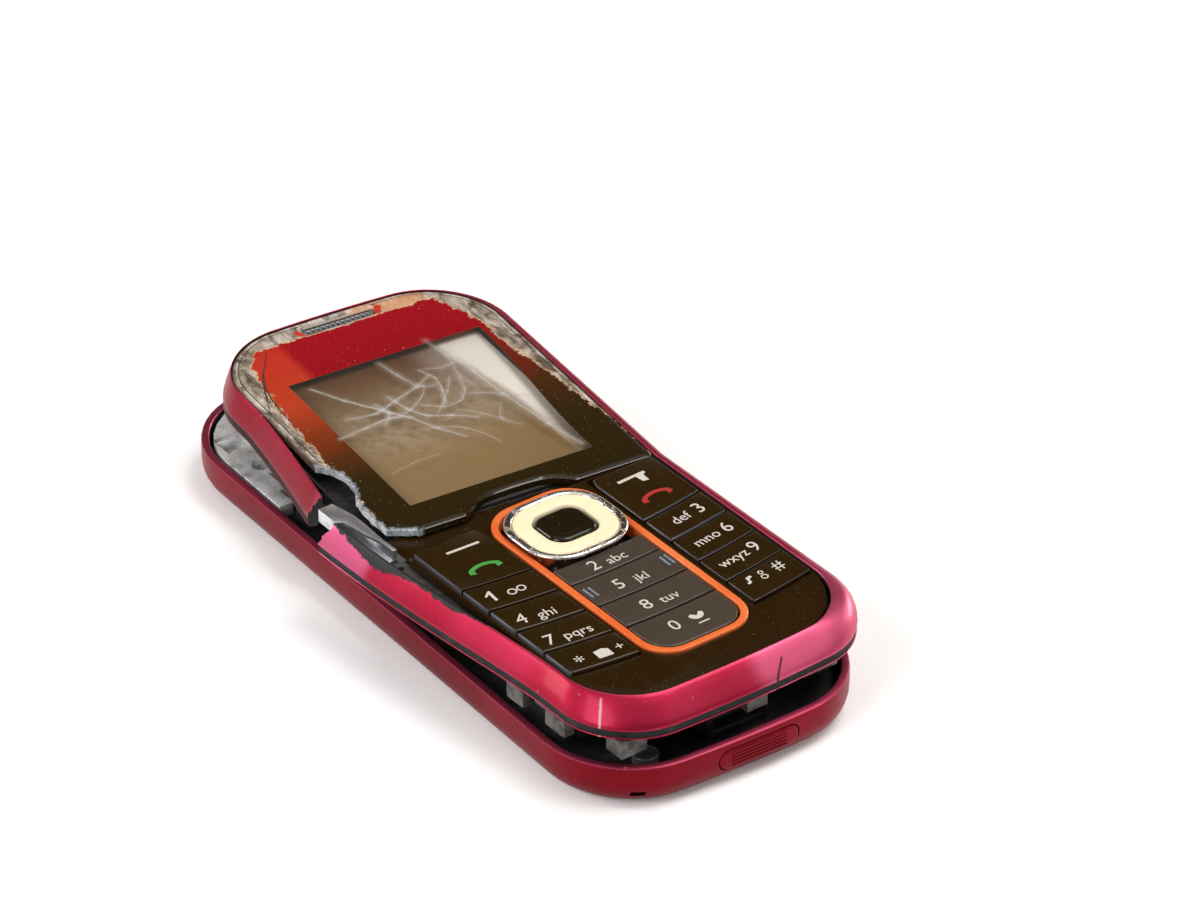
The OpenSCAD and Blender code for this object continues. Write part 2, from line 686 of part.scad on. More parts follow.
module dome_sheet() {
    dome_r = 1.9;
    color("#d9d6c8") lower_half() union() {
        plate(round_rect(17.0, -38.6, -0.6, 2, 1), dome_z0, dome_z0 + dome_t);
        for (p = concat(plungers, nav_plungers))
            rod(p.x, p.y, dome_r, dome_z0, dome_z0 + dome_t + dome_bump);
    }
}

module key_mat() {
    color("#4b4b4e") lower_half() difference() {
        plate(round_rect(19.1, -42.6, -0.4, 8, 0.5), mat_z0, mat_z0 + mat_t);
        for (p = plungers) rod(p.x, p.y, hole_r, mat_z0 - e, mat_z0 + mat_t + e);
        for (p = nav_plungers) rod(p.x, p.y, hole_r, mat_z0 - e, mat_z0 + mat_t + e);
    }
}

// Column opening in the face plate, on the side s
module column_hole(s) {
    n = 6;
    x0 = key_in - fit * 0.6;
    x1 = key_out + fit * 0.6;
    pts = concat([[s * x0, 0.6], [s * x1, 0.6]],
        [for (i = [0:n]) let (x = x1 + (x0 - x1) * i / n) [s * x, row_line(4, x) - 0.1]]);
    plate(pts, 0, key_plane + 1);
}

module face_plate() {
    shelf_y = 1.9;
    shelf_x0 = wall_x + part_gap;
    shelf_x1 = plate_hw - 1.2;
    shelf_rise = 2 * plate_hw * tan(kink);
    square = round_rect(plate_hw, plate_bottom + end_bulge + part_gap, 0.05, 10.5, 0.3);
    color("#120f0c") lower_half() difference() {
        union() {
            plate(bulged(square, half_w, end_bulge), plate_z0, plate_z1);
            plate([[shelf_x0, -1], [shelf_x1, -1], [shelf_x1, shelf_y], [shelf_x0, shelf_y + shelf_rise]],
                plate_z0 - 0.9, plate_z0 + 0.3);
        }
        column_hole(-1);
        column_hole(1);
        plate(round_rect(trim_out + 0.12, trim_y0 - 0.12, trim_y1 + 0.12, 5.2, 5.8), 0, key_plane + 1);
    }
}

module trim_ring() {
    color("#e8682a") lower_half() difference() {
        plate(round_rect(trim_out, trim_y0, trim_y1, 5.1, 5.7), plate_z0 - 0.4, key_plane - 0.15);
        plate(round_rect(trim_in, trim_y0 + 1.1, trim_y1 - 1.1, 4.0, 4.6), 0, key_plane + 1);
    }
}

module plunger_at(x, y) {
    rod(x, y, plunger_r, plunger_z0, key_z0 + 0.2);
}

// Cap between two row lines, on the side s
module side_cap(k, s) {
    n = 6;
    g = key_gap / 2;
    xs = [for (i = [0:n]) key_in + (key_out - key_in) * i / n];
    top = [for (x = xs) [s * x, row_line(k, x) - g]];
    bottom = [for (i = [0:n]) let (x = xs[n - i]) [s * x, row_line(k + 1, x) + g]];
    union() {
        plate(concat(top, bottom), key_z0, side_top);
        plunger_at(s * side_cx, row_mid(k));
    }
}

module side_key(k, s) {
    color("#1c1812") lower_half() side_cap(k, s);
}

module soft_key(s) {
    n = 6;
    g = key_gap / 2;
    bottom = [for (i = [0:n]) let (x = key_out + (key_in - key_out) * i / n) [s * x, row_line(0, x) + g]];
    color("#1c1812") lower_half() union() {
        plate(concat([[s * key_in, -1.6], [s * (key_in + 0.5), -0.1], [s * key_out, -0.1]], bottom),
            key_z0, side_top);
        for (y = soft_plunger_y) plunger_at(s * side_cx, y);
    }
}

module centre_key(k) {
    n = 6;
    g = key_gap / 2;
    top_gap = k == 0 ? 1.75 : g;
    xs = [for (i = [0:n]) centre_hw * (2 * i / n - 1)];
    top = [for (x = xs) [x, row_line(k, x) - top_gap]];
    bottom = [for (i = [0:n]) let (x = xs[n - i]) [x, row_line(k + 1, x) + g]];
    end_y = trim_y0 + 1.35;
    color("#4a4038") lower_half() union() {
        if (k < 3) {
            plate(concat(top, bottom), key_z0, centre_top);
        } else {
            plate(concat(top, arc_pts(centre_hw - 3.8, end_y + 3.8, 3.8, 0, -90),
                arc_pts(3.8 - centre_hw, end_y + 3.8, 3.8, -90, -180)), key_z0, centre_top);
        }
        plunger_at(0, centre_mid(k) - (k == 0 ? 0.5 : 0));
    }
}

module left_soft_key() { soft_key(-1); }
module right_soft_key() { soft_key(1); }
module key_1() { side_key(0, -1); }
module key_4() { side_key(1, -1); }
module key_7() { side_key(2, -1); }
module key_star() { side_key(3, -1); }
module key_3() { side_key(0, 1); }
module key_6() { side_key(1, 1); }
module key_9() { side_key(2, 1); }
module key_hash() { side_key(3, 1); }
module key_2() { centre_key(0); }
module key_5() { centre_key(1); }
module key_8() { centre_key(2); }
module key_0() { centre_key(3); }

function nav_outline(d) = round_rect(nav_w / 2 - d, nav_y - nav_l / 2 + d, nav_y + nav_l / 2 - d,
    nav_r - d, nav_r - d);

module select_hole(z0, z1) {
    plate(round_rect(select_w / 2 + fit, nav_y - select_l / 2 - fit, nav_y + select_l / 2 + fit,
        select_r + fit, select_r + fit), z0, z1);
}

// Stiff plate under the navigation key, with a post for each of its four domes
module nav_actuator() {
    nav_post_z0 = dome_z0 + dome_t + dome_bump + nav_tilt_gap;
    color("#c9c4b6") lower_half() difference() {
        union() {
            plate(nav_outline(nav_skirt + 0.2), actuator_z0, actuator_z1);
            for (p = nav_plungers) rod(p.x, p.y, plunger_r - 0.2, nav_post_z0, actuator_z0 + 0.2);
        }
        rod(0, nav_y, plunger_r + 0.8, 0, key_plane);
    }
}

module nav_key() {
    color("#fbebc8") lower_half() difference() {
        union() {
            plate(nav_outline(nav_skirt), nav_z0, nav_rim_z0 + e);
            plate(nav_outline(0), nav_rim_z0, nav_top - 0.3);
            plate(nav_outline(0.5), nav_top - 0.3 - e, nav_top);
        }
        select_hole(nav_z0 - e, nav_top + e);
    }
}

module select_key() {
    color("#141210") lower_half() union() {
        plate(round_rect(select_w / 2, nav_y - select_l / 2, nav_y + select_l / 2, select_r, select_r),
            nav_z0 + key_travel, nav_top - 0.1);
        rod(0, nav_y, plunger_r, plunger_z0, nav_z0 + key_travel + 0.2);
    }
}

rear_shell();
end_cover();
rear_chassis();
antenna_carrier();
battery();
battery_contacts();
loudspeaker();
vibration_motor();
microphone();
system_connector();
circuit_board();
shield_cans();
sim_holder();
board_screws();
front_frame();
display_lens();
lens_gasket();
display_bezel();
display_panel();
display_backlight();
display_flex();
earpiece();
earpiece_grille();
side_bracket();
light_guide();
dome_sheet();
key_mat();
face_plate();
trim_ring();
left_soft_key();
right_soft_key();
key_1();
key_4();
key_7();
key_star();
key_3();
key_6();
key_9();
key_hash();
key_2();
key_5();
key_8();
key_0();
nav_actuator();
nav_key();
select_key();
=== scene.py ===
"""Looks of a candybar phone whose display lens is shattered and whose front has come off its rear shell."""
import json
import logging
import math
import random
from dataclasses import dataclass
from enum import Enum
from typing import Any, Sequence

import bmesh
import bpy
from mathutils import Matrix, Vector
from mathutils.geometry import delaunay_2d_cdt


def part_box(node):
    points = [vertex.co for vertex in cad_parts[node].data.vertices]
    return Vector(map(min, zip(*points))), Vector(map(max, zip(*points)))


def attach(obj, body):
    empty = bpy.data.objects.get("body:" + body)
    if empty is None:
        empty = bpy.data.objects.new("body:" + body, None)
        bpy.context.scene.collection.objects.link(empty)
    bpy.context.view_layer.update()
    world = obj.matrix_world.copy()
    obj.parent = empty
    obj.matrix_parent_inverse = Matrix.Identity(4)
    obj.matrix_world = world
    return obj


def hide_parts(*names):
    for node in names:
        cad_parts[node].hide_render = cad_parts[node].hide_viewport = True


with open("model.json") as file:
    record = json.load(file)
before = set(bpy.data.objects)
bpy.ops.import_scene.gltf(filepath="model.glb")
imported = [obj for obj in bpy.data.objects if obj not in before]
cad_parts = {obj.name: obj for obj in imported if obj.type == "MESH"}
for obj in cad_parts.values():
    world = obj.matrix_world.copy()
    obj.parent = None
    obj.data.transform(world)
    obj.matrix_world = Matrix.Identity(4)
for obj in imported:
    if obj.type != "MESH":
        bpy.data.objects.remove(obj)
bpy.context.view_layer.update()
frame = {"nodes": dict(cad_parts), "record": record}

log = logging.getLogger("phone")
MM = 0.001
Point2 = tuple[float, float]
Color = tuple[float, float, float]


# ---------------------------------------------------------------- shader maths

class Op(Enum):
    """What a Math node does with its values."""

    ADD = "ADD"
    SUBTRACT = "SUBTRACT"
    MULTIPLY = "MULTIPLY"
    MAXIMUM = "MAXIMUM"
    MINIMUM = "MINIMUM"
    ABSOLUTE = "ABSOLUTE"
    SQRT = "SQRT"


class Value:
    """A shader socket that takes part in Python arithmetic; each operator adds one Math node."""

    def __init__(self, graph: "Graph", socket: bpy.types.NodeSocket) -> None:
        """Wraps a socket of a graph."""
        self.graph = graph
        self.socket = socket

    def __add__(self, other: "Value | float") -> "Value":
        """Sum."""
        return self.graph.math(Op.ADD, self, other)

    def __radd__(self, other: float) -> "Value":
        """Reflected sum."""
        return self.graph.math(Op.ADD, other, self)

    def __sub__(self, other: "Value | float") -> "Value":
        """Difference."""
        return self.graph.math(Op.SUBTRACT, self, other)

    def __rsub__(self, other: float) -> "Value":
        """Reflected difference."""
        return self.graph.math(Op.SUBTRACT, other, self)

    def __mul__(self, other: "Value | float") -> "Value":
        """Product."""
        return self.graph.math(Op.MULTIPLY, self, other)

    def __rmul__(self, other: float) -> "Value":
        """Reflected product."""
        return self.graph.math(Op.MULTIPLY, other, self)

    def __or__(self, other: "Value | float") -> "Value":
        """The larger of two masks."""
        return self.graph.math(Op.MAXIMUM, self, other)

    def __and__(self, other: "Value | float") -> "Value":
        """The smaller of two masks."""
        return self.graph.math(Op.MINIMUM, self, other)

    def __abs__(self) -> "Value":
        """Absolute value."""
        return self.graph.math(Op.ABSOLUTE, self)


class Graph:
    """One material's node tree, with short ways to add nodes."""

    def __init__(self, name: str) -> None:
        """Makes an empty material.

        Args:
            name: the material's name.
        """
        self.material = bpy.data.materials.new(name)
        self.material.use_nodes = True
        self.tree = self.material.node_tree
        self.tree.nodes.clear()

    def feed(self, socket: bpy.types.NodeSocket, value: Any) -> None:
        """Links a value to a socket, or sets the socket's own number or colour.

        Args:
            socket: the input.
            value: a value, number or colour.
        """
        if isinstance(value, Value):
            self.tree.links.new(value.socket, socket)
        elif isinstance(value, tuple) and len(value) == 3 and socket.type == "RGBA":
            socket.default_value = (*value, 1.0)
        else:
            socket.default_value = value

    def node(self, kind: str, settings: dict[str, Any] | None = None,
             inputs: dict[Any, Any] | None = None) -> bpy.types.Node:
        """Adds a node.

        Args:
            kind: the node's type.
            settings: properties set first; "stops" fills a colour ramp with (place, colour) pairs.
            inputs: values or links, by socket name or number.

        Returns:
            The new node.
        """
        made = self.tree.nodes.new(kind)
        for key, value in (settings or {}).items():
            if key == "stops":
                self._fill_ramp(made.color_ramp, value)
            else:
                setattr(made, key, value)
        for key, value in (inputs or {}).items():
            self.feed(made.inputs[key], value)
        return made

    @staticmethod
    def _fill_ramp(ramp: bpy.types.ColorRamp, stops: Sequence[tuple[float, Color]]) -> None:
        """Gives a colour ramp its stops.

        Args:
            ramp: the ramp.
            stops: places and colours, in order.
        """
        while len(ramp.elements) > 1:
            ramp.elements.remove(ramp.elements[-1])
        ramp.elements[0].position = stops[0][0]
        ramp.elements[0].color = (*stops[0][1], 1.0)
        for place, color in stops[1:]:
            ramp.elements.new(place).color = (*color, 1.0)

    def out(self, node: bpy.types.Node, socket: str | int = 0) -> Value:
        """A node's output as a value."""
        return Value(self, node.outputs[socket])

    def math(self, operation: Op, *values: "Value | float") -> Value:
        """Adds a Math node."""
        made = self.node("ShaderNodeMath", {"operation": operation.value}, dict(enumerate(values)))
        return self.out(made)

    def smooth(self, value: Value, low: float, high: float) -> Value:
        """A soft step from 0 at low to 1 at high; low may be the larger of the two.

        Args:
            value: what the step runs along.
            low: where it is 0.
            high: where it is 1.

        Returns:
            The step.
        """
        made = self.node("ShaderNodeMapRange", {"interpolation_type": "SMOOTHSTEP"},
                         {"Value": value, "From Min": low, "From Max": high})
        return self.out(made)

    def mix(self, factor: "Value | float", a: "Value | Color", b: "Value | Color") -> Value:
        """Mixes two colours."""
        made = self.node("ShaderNodeMix", {"data_type": "RGBA"}, {0: factor, 6: a, 7: b})
        return self.out(made, 2)

    def ramp(self, value: Value, stops: Sequence[tuple[float, Color]]) -> Value:
        """Colour from a ramp."""
        return self.out(self.node("ShaderNodeValToRGB", {"stops": stops}, {0: value}))

    def profile(self, value: Value, low: float, high: float, points: Sequence[Point2]) -> Value:
        """A number that follows value along straight pieces.

        Args:
            value: what the profile runs along.
            low: the value at the ramp's start.
            high: the value at the ramp's end.
            points: pairs of value and result, the results within 0 to 32.

        Returns:
            The result as a value.
        """
        full = 32.0
        stops = [((at - low) / (high - low), (result / full,) * 3) for at, result in points]
        place = (value - low) * (1.0 / (high - low))
        return self.ramp(place, stops) * full

    def place(self, pose: "Pose | None" = None) -> tuple[Value, Value, Value, Value]:
        """Object coordinates in millimetres, seen from a half of the phone.

        Args:
            pose: the half's own frame, or None for the phone's.

        Returns:
            The vector, then its x, y and z.
        """
        pose = pose or Pose(0.0, 0.0, 0.0)
        coords = self.node("ShaderNodeTexCoord")
        mapped = self.node("ShaderNodeMapping", {"vector_type": "TEXTURE"}, {
            "Vector": self.out(coords, "Object"), "Location": (pose.x * MM, pose.y * MM, 0.0),
            "Rotation": (0.0, 0.0, pose.turn), "Scale": (MM, MM, MM)})
        vector = self.out(mapped)
        parts = self.node("ShaderNodeSeparateXYZ", None, {0: vector})
        return vector, self.out(parts, 0), self.out(parts, 1), self.out(parts, 2)

    def noise(self, vector: Value, scale: float, detail: float = 3.0, rough: float = 0.55,
              warp: float = 0.0) -> Value:
        """Fractal noise between 0 and 1, on millimetre coordinates.

        Args:
            vector: the coordinates.
            scale: features in a millimetre.
            detail: octaves.
            rough: weight of the finer octaves.
            warp: how much it is bent.

        Returns:
            The noise.
        """
        made = self.node("ShaderNodeTexNoise", None, {
            "Vector": vector, "Scale": scale, "Detail": detail, "Roughness": rough, "Distortion": warp})
        return self.out(made, 0)

    def stretch(self, vector: Value, scale: tuple[float, float, float], turn: float = 0.0) -> Value:
        """Coordinates stretched for streaks and scratches.

        Args:
            vector: the coordinates.
            scale: factor along each axis.
            turn: angle about z, in radians.

        Returns:
            The new coordinates.
        """
        made = self.node("ShaderNodeMapping", None, {
            "Vector": vector, "Rotation": (0.0, 0.0, turn), "Scale": scale})
        return self.out(made)

    def bump(self, height: Value, depth: float) -> Value:
        """A normal from a height; depth is the relief in millimetres."""
        made = self.node("ShaderNodeBump", None, {"Height": height, "Distance": depth * MM, "Strength": 1.0})
        return self.out(made)

    def segment(self, x: Value, y: Value, a: Point2, b: Point2) -> Value:
        """Distance in plan to a straight segment, in millimetres.

        Args:
            x: place across.
            y: place along.
            a: one end.
            b: the other end.

        Returns:
            The distance.
        """
        dx, dy = b[0] - a[0], b[1] - a[1]
        px, py = x - a[0], y - a[1]
        along = (px * dx + py * dy) * (1.0 / (dx * dx + dy * dy))
        t = (along | 0.0) & 1.0
        ex, ey = px - t * dx, py - t * dy
        return self.math(Op.SQRT, ex * ex + ey * ey)

    def attribute(self, name: str) -> Value:
        """A point attribute of the mesh."""
        return self.out(self.node("ShaderNodeAttribute", {"attribute_name": name}), 2)

    def surface(self, **inputs: Any) -> bpy.types.Material:
        """Ends the tree in one Principled shader.

        Args:
            **inputs: socket names with underscores for spaces.

        Returns:
            The finished material.
        """
        named = {key.replace("_", " "): value for key, value in inputs.items()}
        shader = self.node("ShaderNodeBsdfPrincipled", None, named)
        end = self.node("ShaderNodeOutputMaterial", None, {0: self.out(shader)})
        end.is_active_output = True
        return self.material


# ---------------------------------------------------------------- plan of the phone

@dataclass(frozen=True)
class Pose:
    """A turned and shifted frame in plan, in millimetres and radians."""

    x: float
    y: float
    turn: float

    def apply(self, p: Point2) -> Point2:
        """A point of this frame in the phone's frame."""
        c, s = math.cos(self.turn), math.sin(self.turn)
        return (self.x + p[0] * c - p[1] * s, self.y + p[0] * s + p[1] * c)

    def matrix(self, z: float = 0.0) -> Matrix:
        """The same as a matrix in metres, with a height in millimetres."""
        return Matrix.Translation((self.x * MM, self.y * MM, z * MM)) @ Matrix.Rotation(self.turn, 4, "Z")


HINGE_X = 20.4
KINK = math.radians(-6.6)
LOWER = Pose(-0.5, -4.5, math.radians(2.4))
_hinge = LOWER.apply((HINGE_X * (1.0 - math.cos(KINK)), -HINGE_X * math.sin(KINK)))
UPPER = Pose(_hinge[0], _hinge[1], LOWER.turn + KINK)


def node_box(node: str) -> tuple[Vector, Vector]:
    """A CAD node's lowest and highest corners, in millimetres."""
    low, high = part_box(node)
    return Vector(low) / MM, Vector(high) / MM


@dataclass(frozen=True)
class Levels:
    """Heights and widths taken from the frame, in millimetres."""

    half_w: float
    half_l: float
    shell_h: float
    frame_z0: float
    frame_z1: float
    lens_z0: float
    lens_z1: float
    key_top: float
    nav_top: float

    @staticmethod
    def measure() -> "Levels":
        """Reads the levels from the CAD nodes.

        Returns:
            The levels.
        """
        shell = node_box("rear_shell")[1]
        rim = node_box("front_frame")
        lens = node_box("display_lens")
        return Levels(shell.x, shell.y, shell.z, rim[0].z, rim[1].z, lens[0].z, lens[1].z,
                      node_box("left_soft_key")[1].z, node_box("nav_key")[1].z)


LEVELS = Levels.measure()
# Millimetres in the plan of a half, which starts at the break between keypad and display
END_BULGE = 1.2                                          # how far both ends curve outwards
KEYPAD_L = 49.3                                          # break to chin
FRONT_TOP = 2 * LEVELS.half_l - KEYPAD_L - 4.5           # break to top: the front is 4.5 shorter
WINDOW_Y, WINDOW_HW, WINDOW_HL = 23.4, 14.4, 17.45       # the window's middle, half width and half length
PRINT_L = 56.0                                           # length that the print's colours run over
KEY_OUT, SMILE = 20.15, 1.8                              # half width of the key rows, rise of their ends
NAV_Y = -7.4                                             # the navigation key's middle


def arc(cx: float, cy: float, r: float, a0: float, a1: float, n: int) -> list[Point2]:
    """Points on an arc from angle a0 to a1, in degrees."""
    steps = [math.radians(a0 + (a1 - a0) * i / n) for i in range(n + 1)]
    return [(cx + r * math.cos(a), cy + r * math.sin(a)) for a in steps]


def between(p: Point2, q: Point2, n: int) -> list[Point2]:
    """The points strictly between two points, in n equal steps."""
    return [(p[0] + (q[0] - p[0]) * i / n, p[1] + (q[1] - p[1]) * i / n) for i in range(1, n)]


def bulged(points: Sequence[Point2], hw: float, bulge: float) -> list[Point2]:
    """Pushes both ends of an outline outwards in a shallow curve."""
    return [(x, y + math.copysign(bulge * (1 - min(1.0, abs(x) / hw) ** 2), y)) for x, y in points]


def round_rect(hw: float, y0: float, y1: float, r0: float, r1: float, arc_n: int = 12,
               side_n: int = 24, end_n: int = 14) -> list[Point2]:
    """Rounded rectangle, counter-clockwise from the lower right corner.

    Args:
        hw: half width.
        y0: low end.
        y1: high end.
        r0: radius of the low corners.
        r1: radius of the high corners.
        arc_n: steps in a corner.
        side_n: steps in a long side.
        end_n: steps in an end.

    Returns:
        Its points.
    """
    return (arc(hw - r0, y0 + r0, r0, -90, 0, arc_n) + between((hw, y0 + r0), (hw, y1 - r1), side_n)
            + arc(hw - r1, y1 - r1, r1, 0, 90, arc_n) + between((hw - r1, y1), (r1 - hw, y1), end_n)
            + arc(r1 - hw, y1 - r1, r1, 90, 180, arc_n) + between((-hw, y1 - r1), (-hw, y0 + r0), side_n)
            + arc(r0 - hw, y0 + r0, r0, 180, 270, arc_n) + between((r0 - hw, y0), (hw - r0, y0), end_n))


# ---------------------------------------------------------------- mesh helpers

def mesh_object(name: str, verts: Sequence[Sequence[float]], faces: Sequence[Sequence[int]],
                angle: float = 35.0) -> bpy.types.Object:
    """Makes a smooth-shaded object from millimetre points.

    Args:
        name: the piece's name.
        verts: points in millimetres, in the phone's frame.
        faces: corner indices.
        angle: edges sharper than this many degrees stay sharp.

    Returns:
        The object, linked to the scene.
    """
    mesh = bpy.data.meshes.new(name)
    mesh.from_pydata([Vector(v) * MM for v in verts], [], faces)
    mesh.validate()
    return mesh_piece(name, mesh, angle)


def mesh_piece(name: str, mesh: bpy.types.Mesh, angle: float = 35.0) -> bpy.types.Object:
    """Wraps a mesh in an object with outward faces and smooth shading.

    Args:
        name: the piece's name.
        mesh: its mesh.
        angle: edges sharper than this many degrees stay sharp.

    Returns:
        The object.
    """
    work = bmesh.new()
    work.from_mesh(mesh)
    bmesh.ops.remove_doubles(work, verts=work.verts, dist=1e-7)
    bmesh.ops.recalc_face_normals(work, faces=work.faces)
    work.to_mesh(mesh)
    work.free()
    mesh.shade_smooth()
    mesh.set_sharp_from_angle(angle=math.radians(angle))
    piece = bpy.data.objects.new(name, mesh)
    bpy.context.scene.collection.objects.link(piece)
    return piece


def loft(rings: Sequence[Sequence[Sequence[float]]], closed: bool = False) -> tuple[list, list]:
    """Points and faces of a skin through rings of equal length.

    Args:
        rings: each ring a list of points.
        closed: joins the last ring to the first instead of capping both.

    Returns:
        Points and faces.
    """
    n = len(rings[0])
    verts = [tuple(p) for ring in rings for p in ring]
    count = len(rings)
    faces = []
    for k in range(count if closed else count - 1):
        a, b = k * n, ((k + 1) % count) * n
        faces += [(a + i, a + (i + 1) % n, b + (i + 1) % n, b + i) for i in range(n)]
    if not closed:
        faces.append(tuple(range(n))[::-1])
        faces.append(tuple((count - 1) * n + i for i in range(n)))
    return verts, faces


def applied(piece: bpy.types.Object, name: str, angle: float = 35.0) -> bpy.types.Object:
    """Turns a piece with modifiers into a plain mesh piece and removes the first.

    Args:
        piece: the object to evaluate.
        name: the new piece's name.
        angle: edges sharper than this many degrees stay sharp.

    Returns:
        The new object.
    """
    graph = bpy.context.evaluated_depsgraph_get()
    mesh = bpy.data.meshes.new_from_object(piece.evaluated_get(graph), depsgraph=graph)
    bpy.data.objects.remove(piece)
    mesh.name = name
    mesh.shade_smooth()
    mesh.set_sharp_from_angle(angle=math.radians(angle))
    made = bpy.data.objects.new(name, mesh)
    bpy.context.scene.collection.objects.link(made)
    return made


def body_of(node: str) -> str:
    """The body that a CAD node rides on.

    Args:
        node: the CAD node.

    Returns:
        The body's name.
    """
    for body, nodes in frame["record"]["behaviour"]["bodies"].items():
        if node in nodes:
            return body
    raise ValueError(node)


def slot_of(node: str) -> str:
    """The record's material slot of a CAD node."""
    return next(s["material_slot"] for s in frame["record"]["subparts"] if s["node"] == node)


def enlist(piece: bpy.types.Object, material: bpy.types.Material | None, *nodes: str, body: str = "",
           slot: str = "") -> bpy.types.Object:
    """Gives a piece its material and body, and hides the CAD nodes it stands for.

    Args:
        piece: the finished piece.
        material: its material, or None where it already has materials.
        *nodes: CAD nodes it replaces.
        body: the body it rides on; the first node's body if left out.
        slot: the record's slot; not used.

    Returns:
        The piece.
    """
    if material is not None:
        piece.data.materials.clear()
        piece.data.materials.append(material)
    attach(piece, body or body_of(nodes[0]))
    slot or slot_of(nodes[0])
    if nodes:
        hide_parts(*nodes)
    log.info("%s: %d faces", piece.name, len(piece.data.polygons))
    return piece


def bevelled(node: str, name: str, width: float, segments: int = 3, angle: float = 30.0) -> bpy.types.Object:
    """A copy of a CAD node with its edges rounded.

    Args:
        node: the CAD node.
        name: the new piece's name.
        width: the round's width in millimetres.
        segments: facets in the round.
        angle: edges sharper than this many degrees are rounded.

    Returns:
        The new piece.
    """
    mesh = frame["nodes"][node].data.copy()
    work = bmesh.new()
    work.from_mesh(mesh)
    bmesh.ops.remove_doubles(work, verts=work.verts, dist=2e-6)
    bmesh.ops.dissolve_limit(work, angle_limit=math.radians(0.6), verts=work.verts, edges=work.edges)
    work.to_mesh(mesh)
    work.free()
    mesh.materials.clear()
    piece = bpy.data.objects.new(name + "_work", mesh)
    bpy.context.scene.collection.objects.link(piece)
    bevel = piece.modifiers.new("round", "BEVEL")
    bevel.width = width * MM
    bevel.segments = segments
    bevel.limit_method = "ANGLE"
    bevel.angle_limit = math.radians(angle)
    bevel.use_clamp_overlap = True
    bevel.harden_normals = False
    return applied(piece, name, 40.0)


# ---------------------------------------------------------------- finishes

@dataclass(frozen=True)
class Lacquer:
    """Metallic lacquer with a clear coat: scuffed, chipped, and torn off where the mesh says so, with a
    painted pink highlight along marked edges and painted highlights and painted shade along listed segments.
    """

    name: str
    base: Color
    light: Color
    metallic: float
    roughness: float
    coat: float
    chips: float
    pale_marks: tuple[tuple[Point2, Point2, float], ...] = ()
    dark_marks: tuple[tuple[Point2, Point2, float], ...] = ()
    # Segments, widths and colours of painted highlights and painted shade
    painted_light_tints: tuple[tuple[Point2, Point2, float, Color], ...] = ()

    def make(self) -> bpy.types.Material:
        """Builds the material.

        Returns:
            The material.
        """
        g = Graph(self.name)
        vector, x, y, _z = g.place()
        broad = g.smooth(g.noise(vector, 0.05, 2.0), 0.35, 0.7)
        color = g.mix(broad, self.base, self.light)
        # Painted highlights and painted shade: soft bands of colour round these segments
        for a, b, width, painted_light_tint in self.painted_light_tints:
            color = g.mix(g.smooth(g.segment(x, y, a, b), width, width * 0.3) * 0.9, color, painted_light_tint)
        scuff = g.smooth(g.noise(g.stretch(vector, (0.5, 1.6, 1.0), 0.6), 1.3, 6.0, 0.7), 0.60, 0.74)
        color = g.mix(scuff * 0.16, color, (0.55, 0.20, 0.26))
        dust = g.smooth(g.noise(vector, 1.7, 5.0, 0.7), 0.64, 0.72)
        color = g.mix(dust * 0.45, color, tuple(c * 0.22 for c in self.base))
        # Painted pink highlight along the edges that the mesh's edge attribute marks
        edge = g.attribute("edge")
        color = g.mix(g.smooth(edge, 0.35, 1.0) * 0.4, color, (0.62, 0.10, 0.20))
        patch = g.smooth(g.noise(vector, 1.1, 5.0, 0.65), 0.70 - 0.03 * self.chips, 0.74 - 0.03 * self.chips)
        chip = (patch * (0.03 + edge * 0.97) * self.chips) & 1.0
        color = g.mix(chip, color, (0.50, 0.42, 0.40))
        worn = g.noise(vector, 1.3, 4.0, 0.7) - 0.5
        pale, dark = chip * 0.0, chip * 0.0
        for a, b, width in self.pale_marks:
            pale = pale | g.smooth(g.segment(x, y, a, b) + worn * width, width, width * 0.2)
        for a, b, width in self.dark_marks:
            dark = dark | g.smooth(g.segment(x, y, a, b) + worn * width, width, width * 0.4)
        color = g.mix(pale * 0.5, color, (0.80, 0.62, 0.66))
        color = g.mix(dark * 0.85, color, (0.06, 0.012, 0.02))
        bare = g.smooth(g.attribute("torn") + (g.noise(vector, 0.8, 5.0, 0.7) - 0.5) * 0.30, 0.485, 0.515)
        color = g.mix(bare, color, (0.010, 0.009, 0.010))
        rough = self.roughness + scuff * 0.18 + chip * 0.3 + g.noise(vector, 0.35, 4.0) * 0.10 + dust * 0.2
        height = g.noise(vector, 2.2, 4.0, 0.6) * 0.3 - chip - bare - dark
        metal = self.metallic * (1.0 - (chip | bare | pale))
        return g.surface(Base_Color=color, Metallic=metal, Roughness=rough,
                         Coat_Weight=self.coat * (1.0 - bare),
                         Coat_Roughness=0.12, Specular_IOR_Level=0.25, Normal=g.bump(height, 0.02))


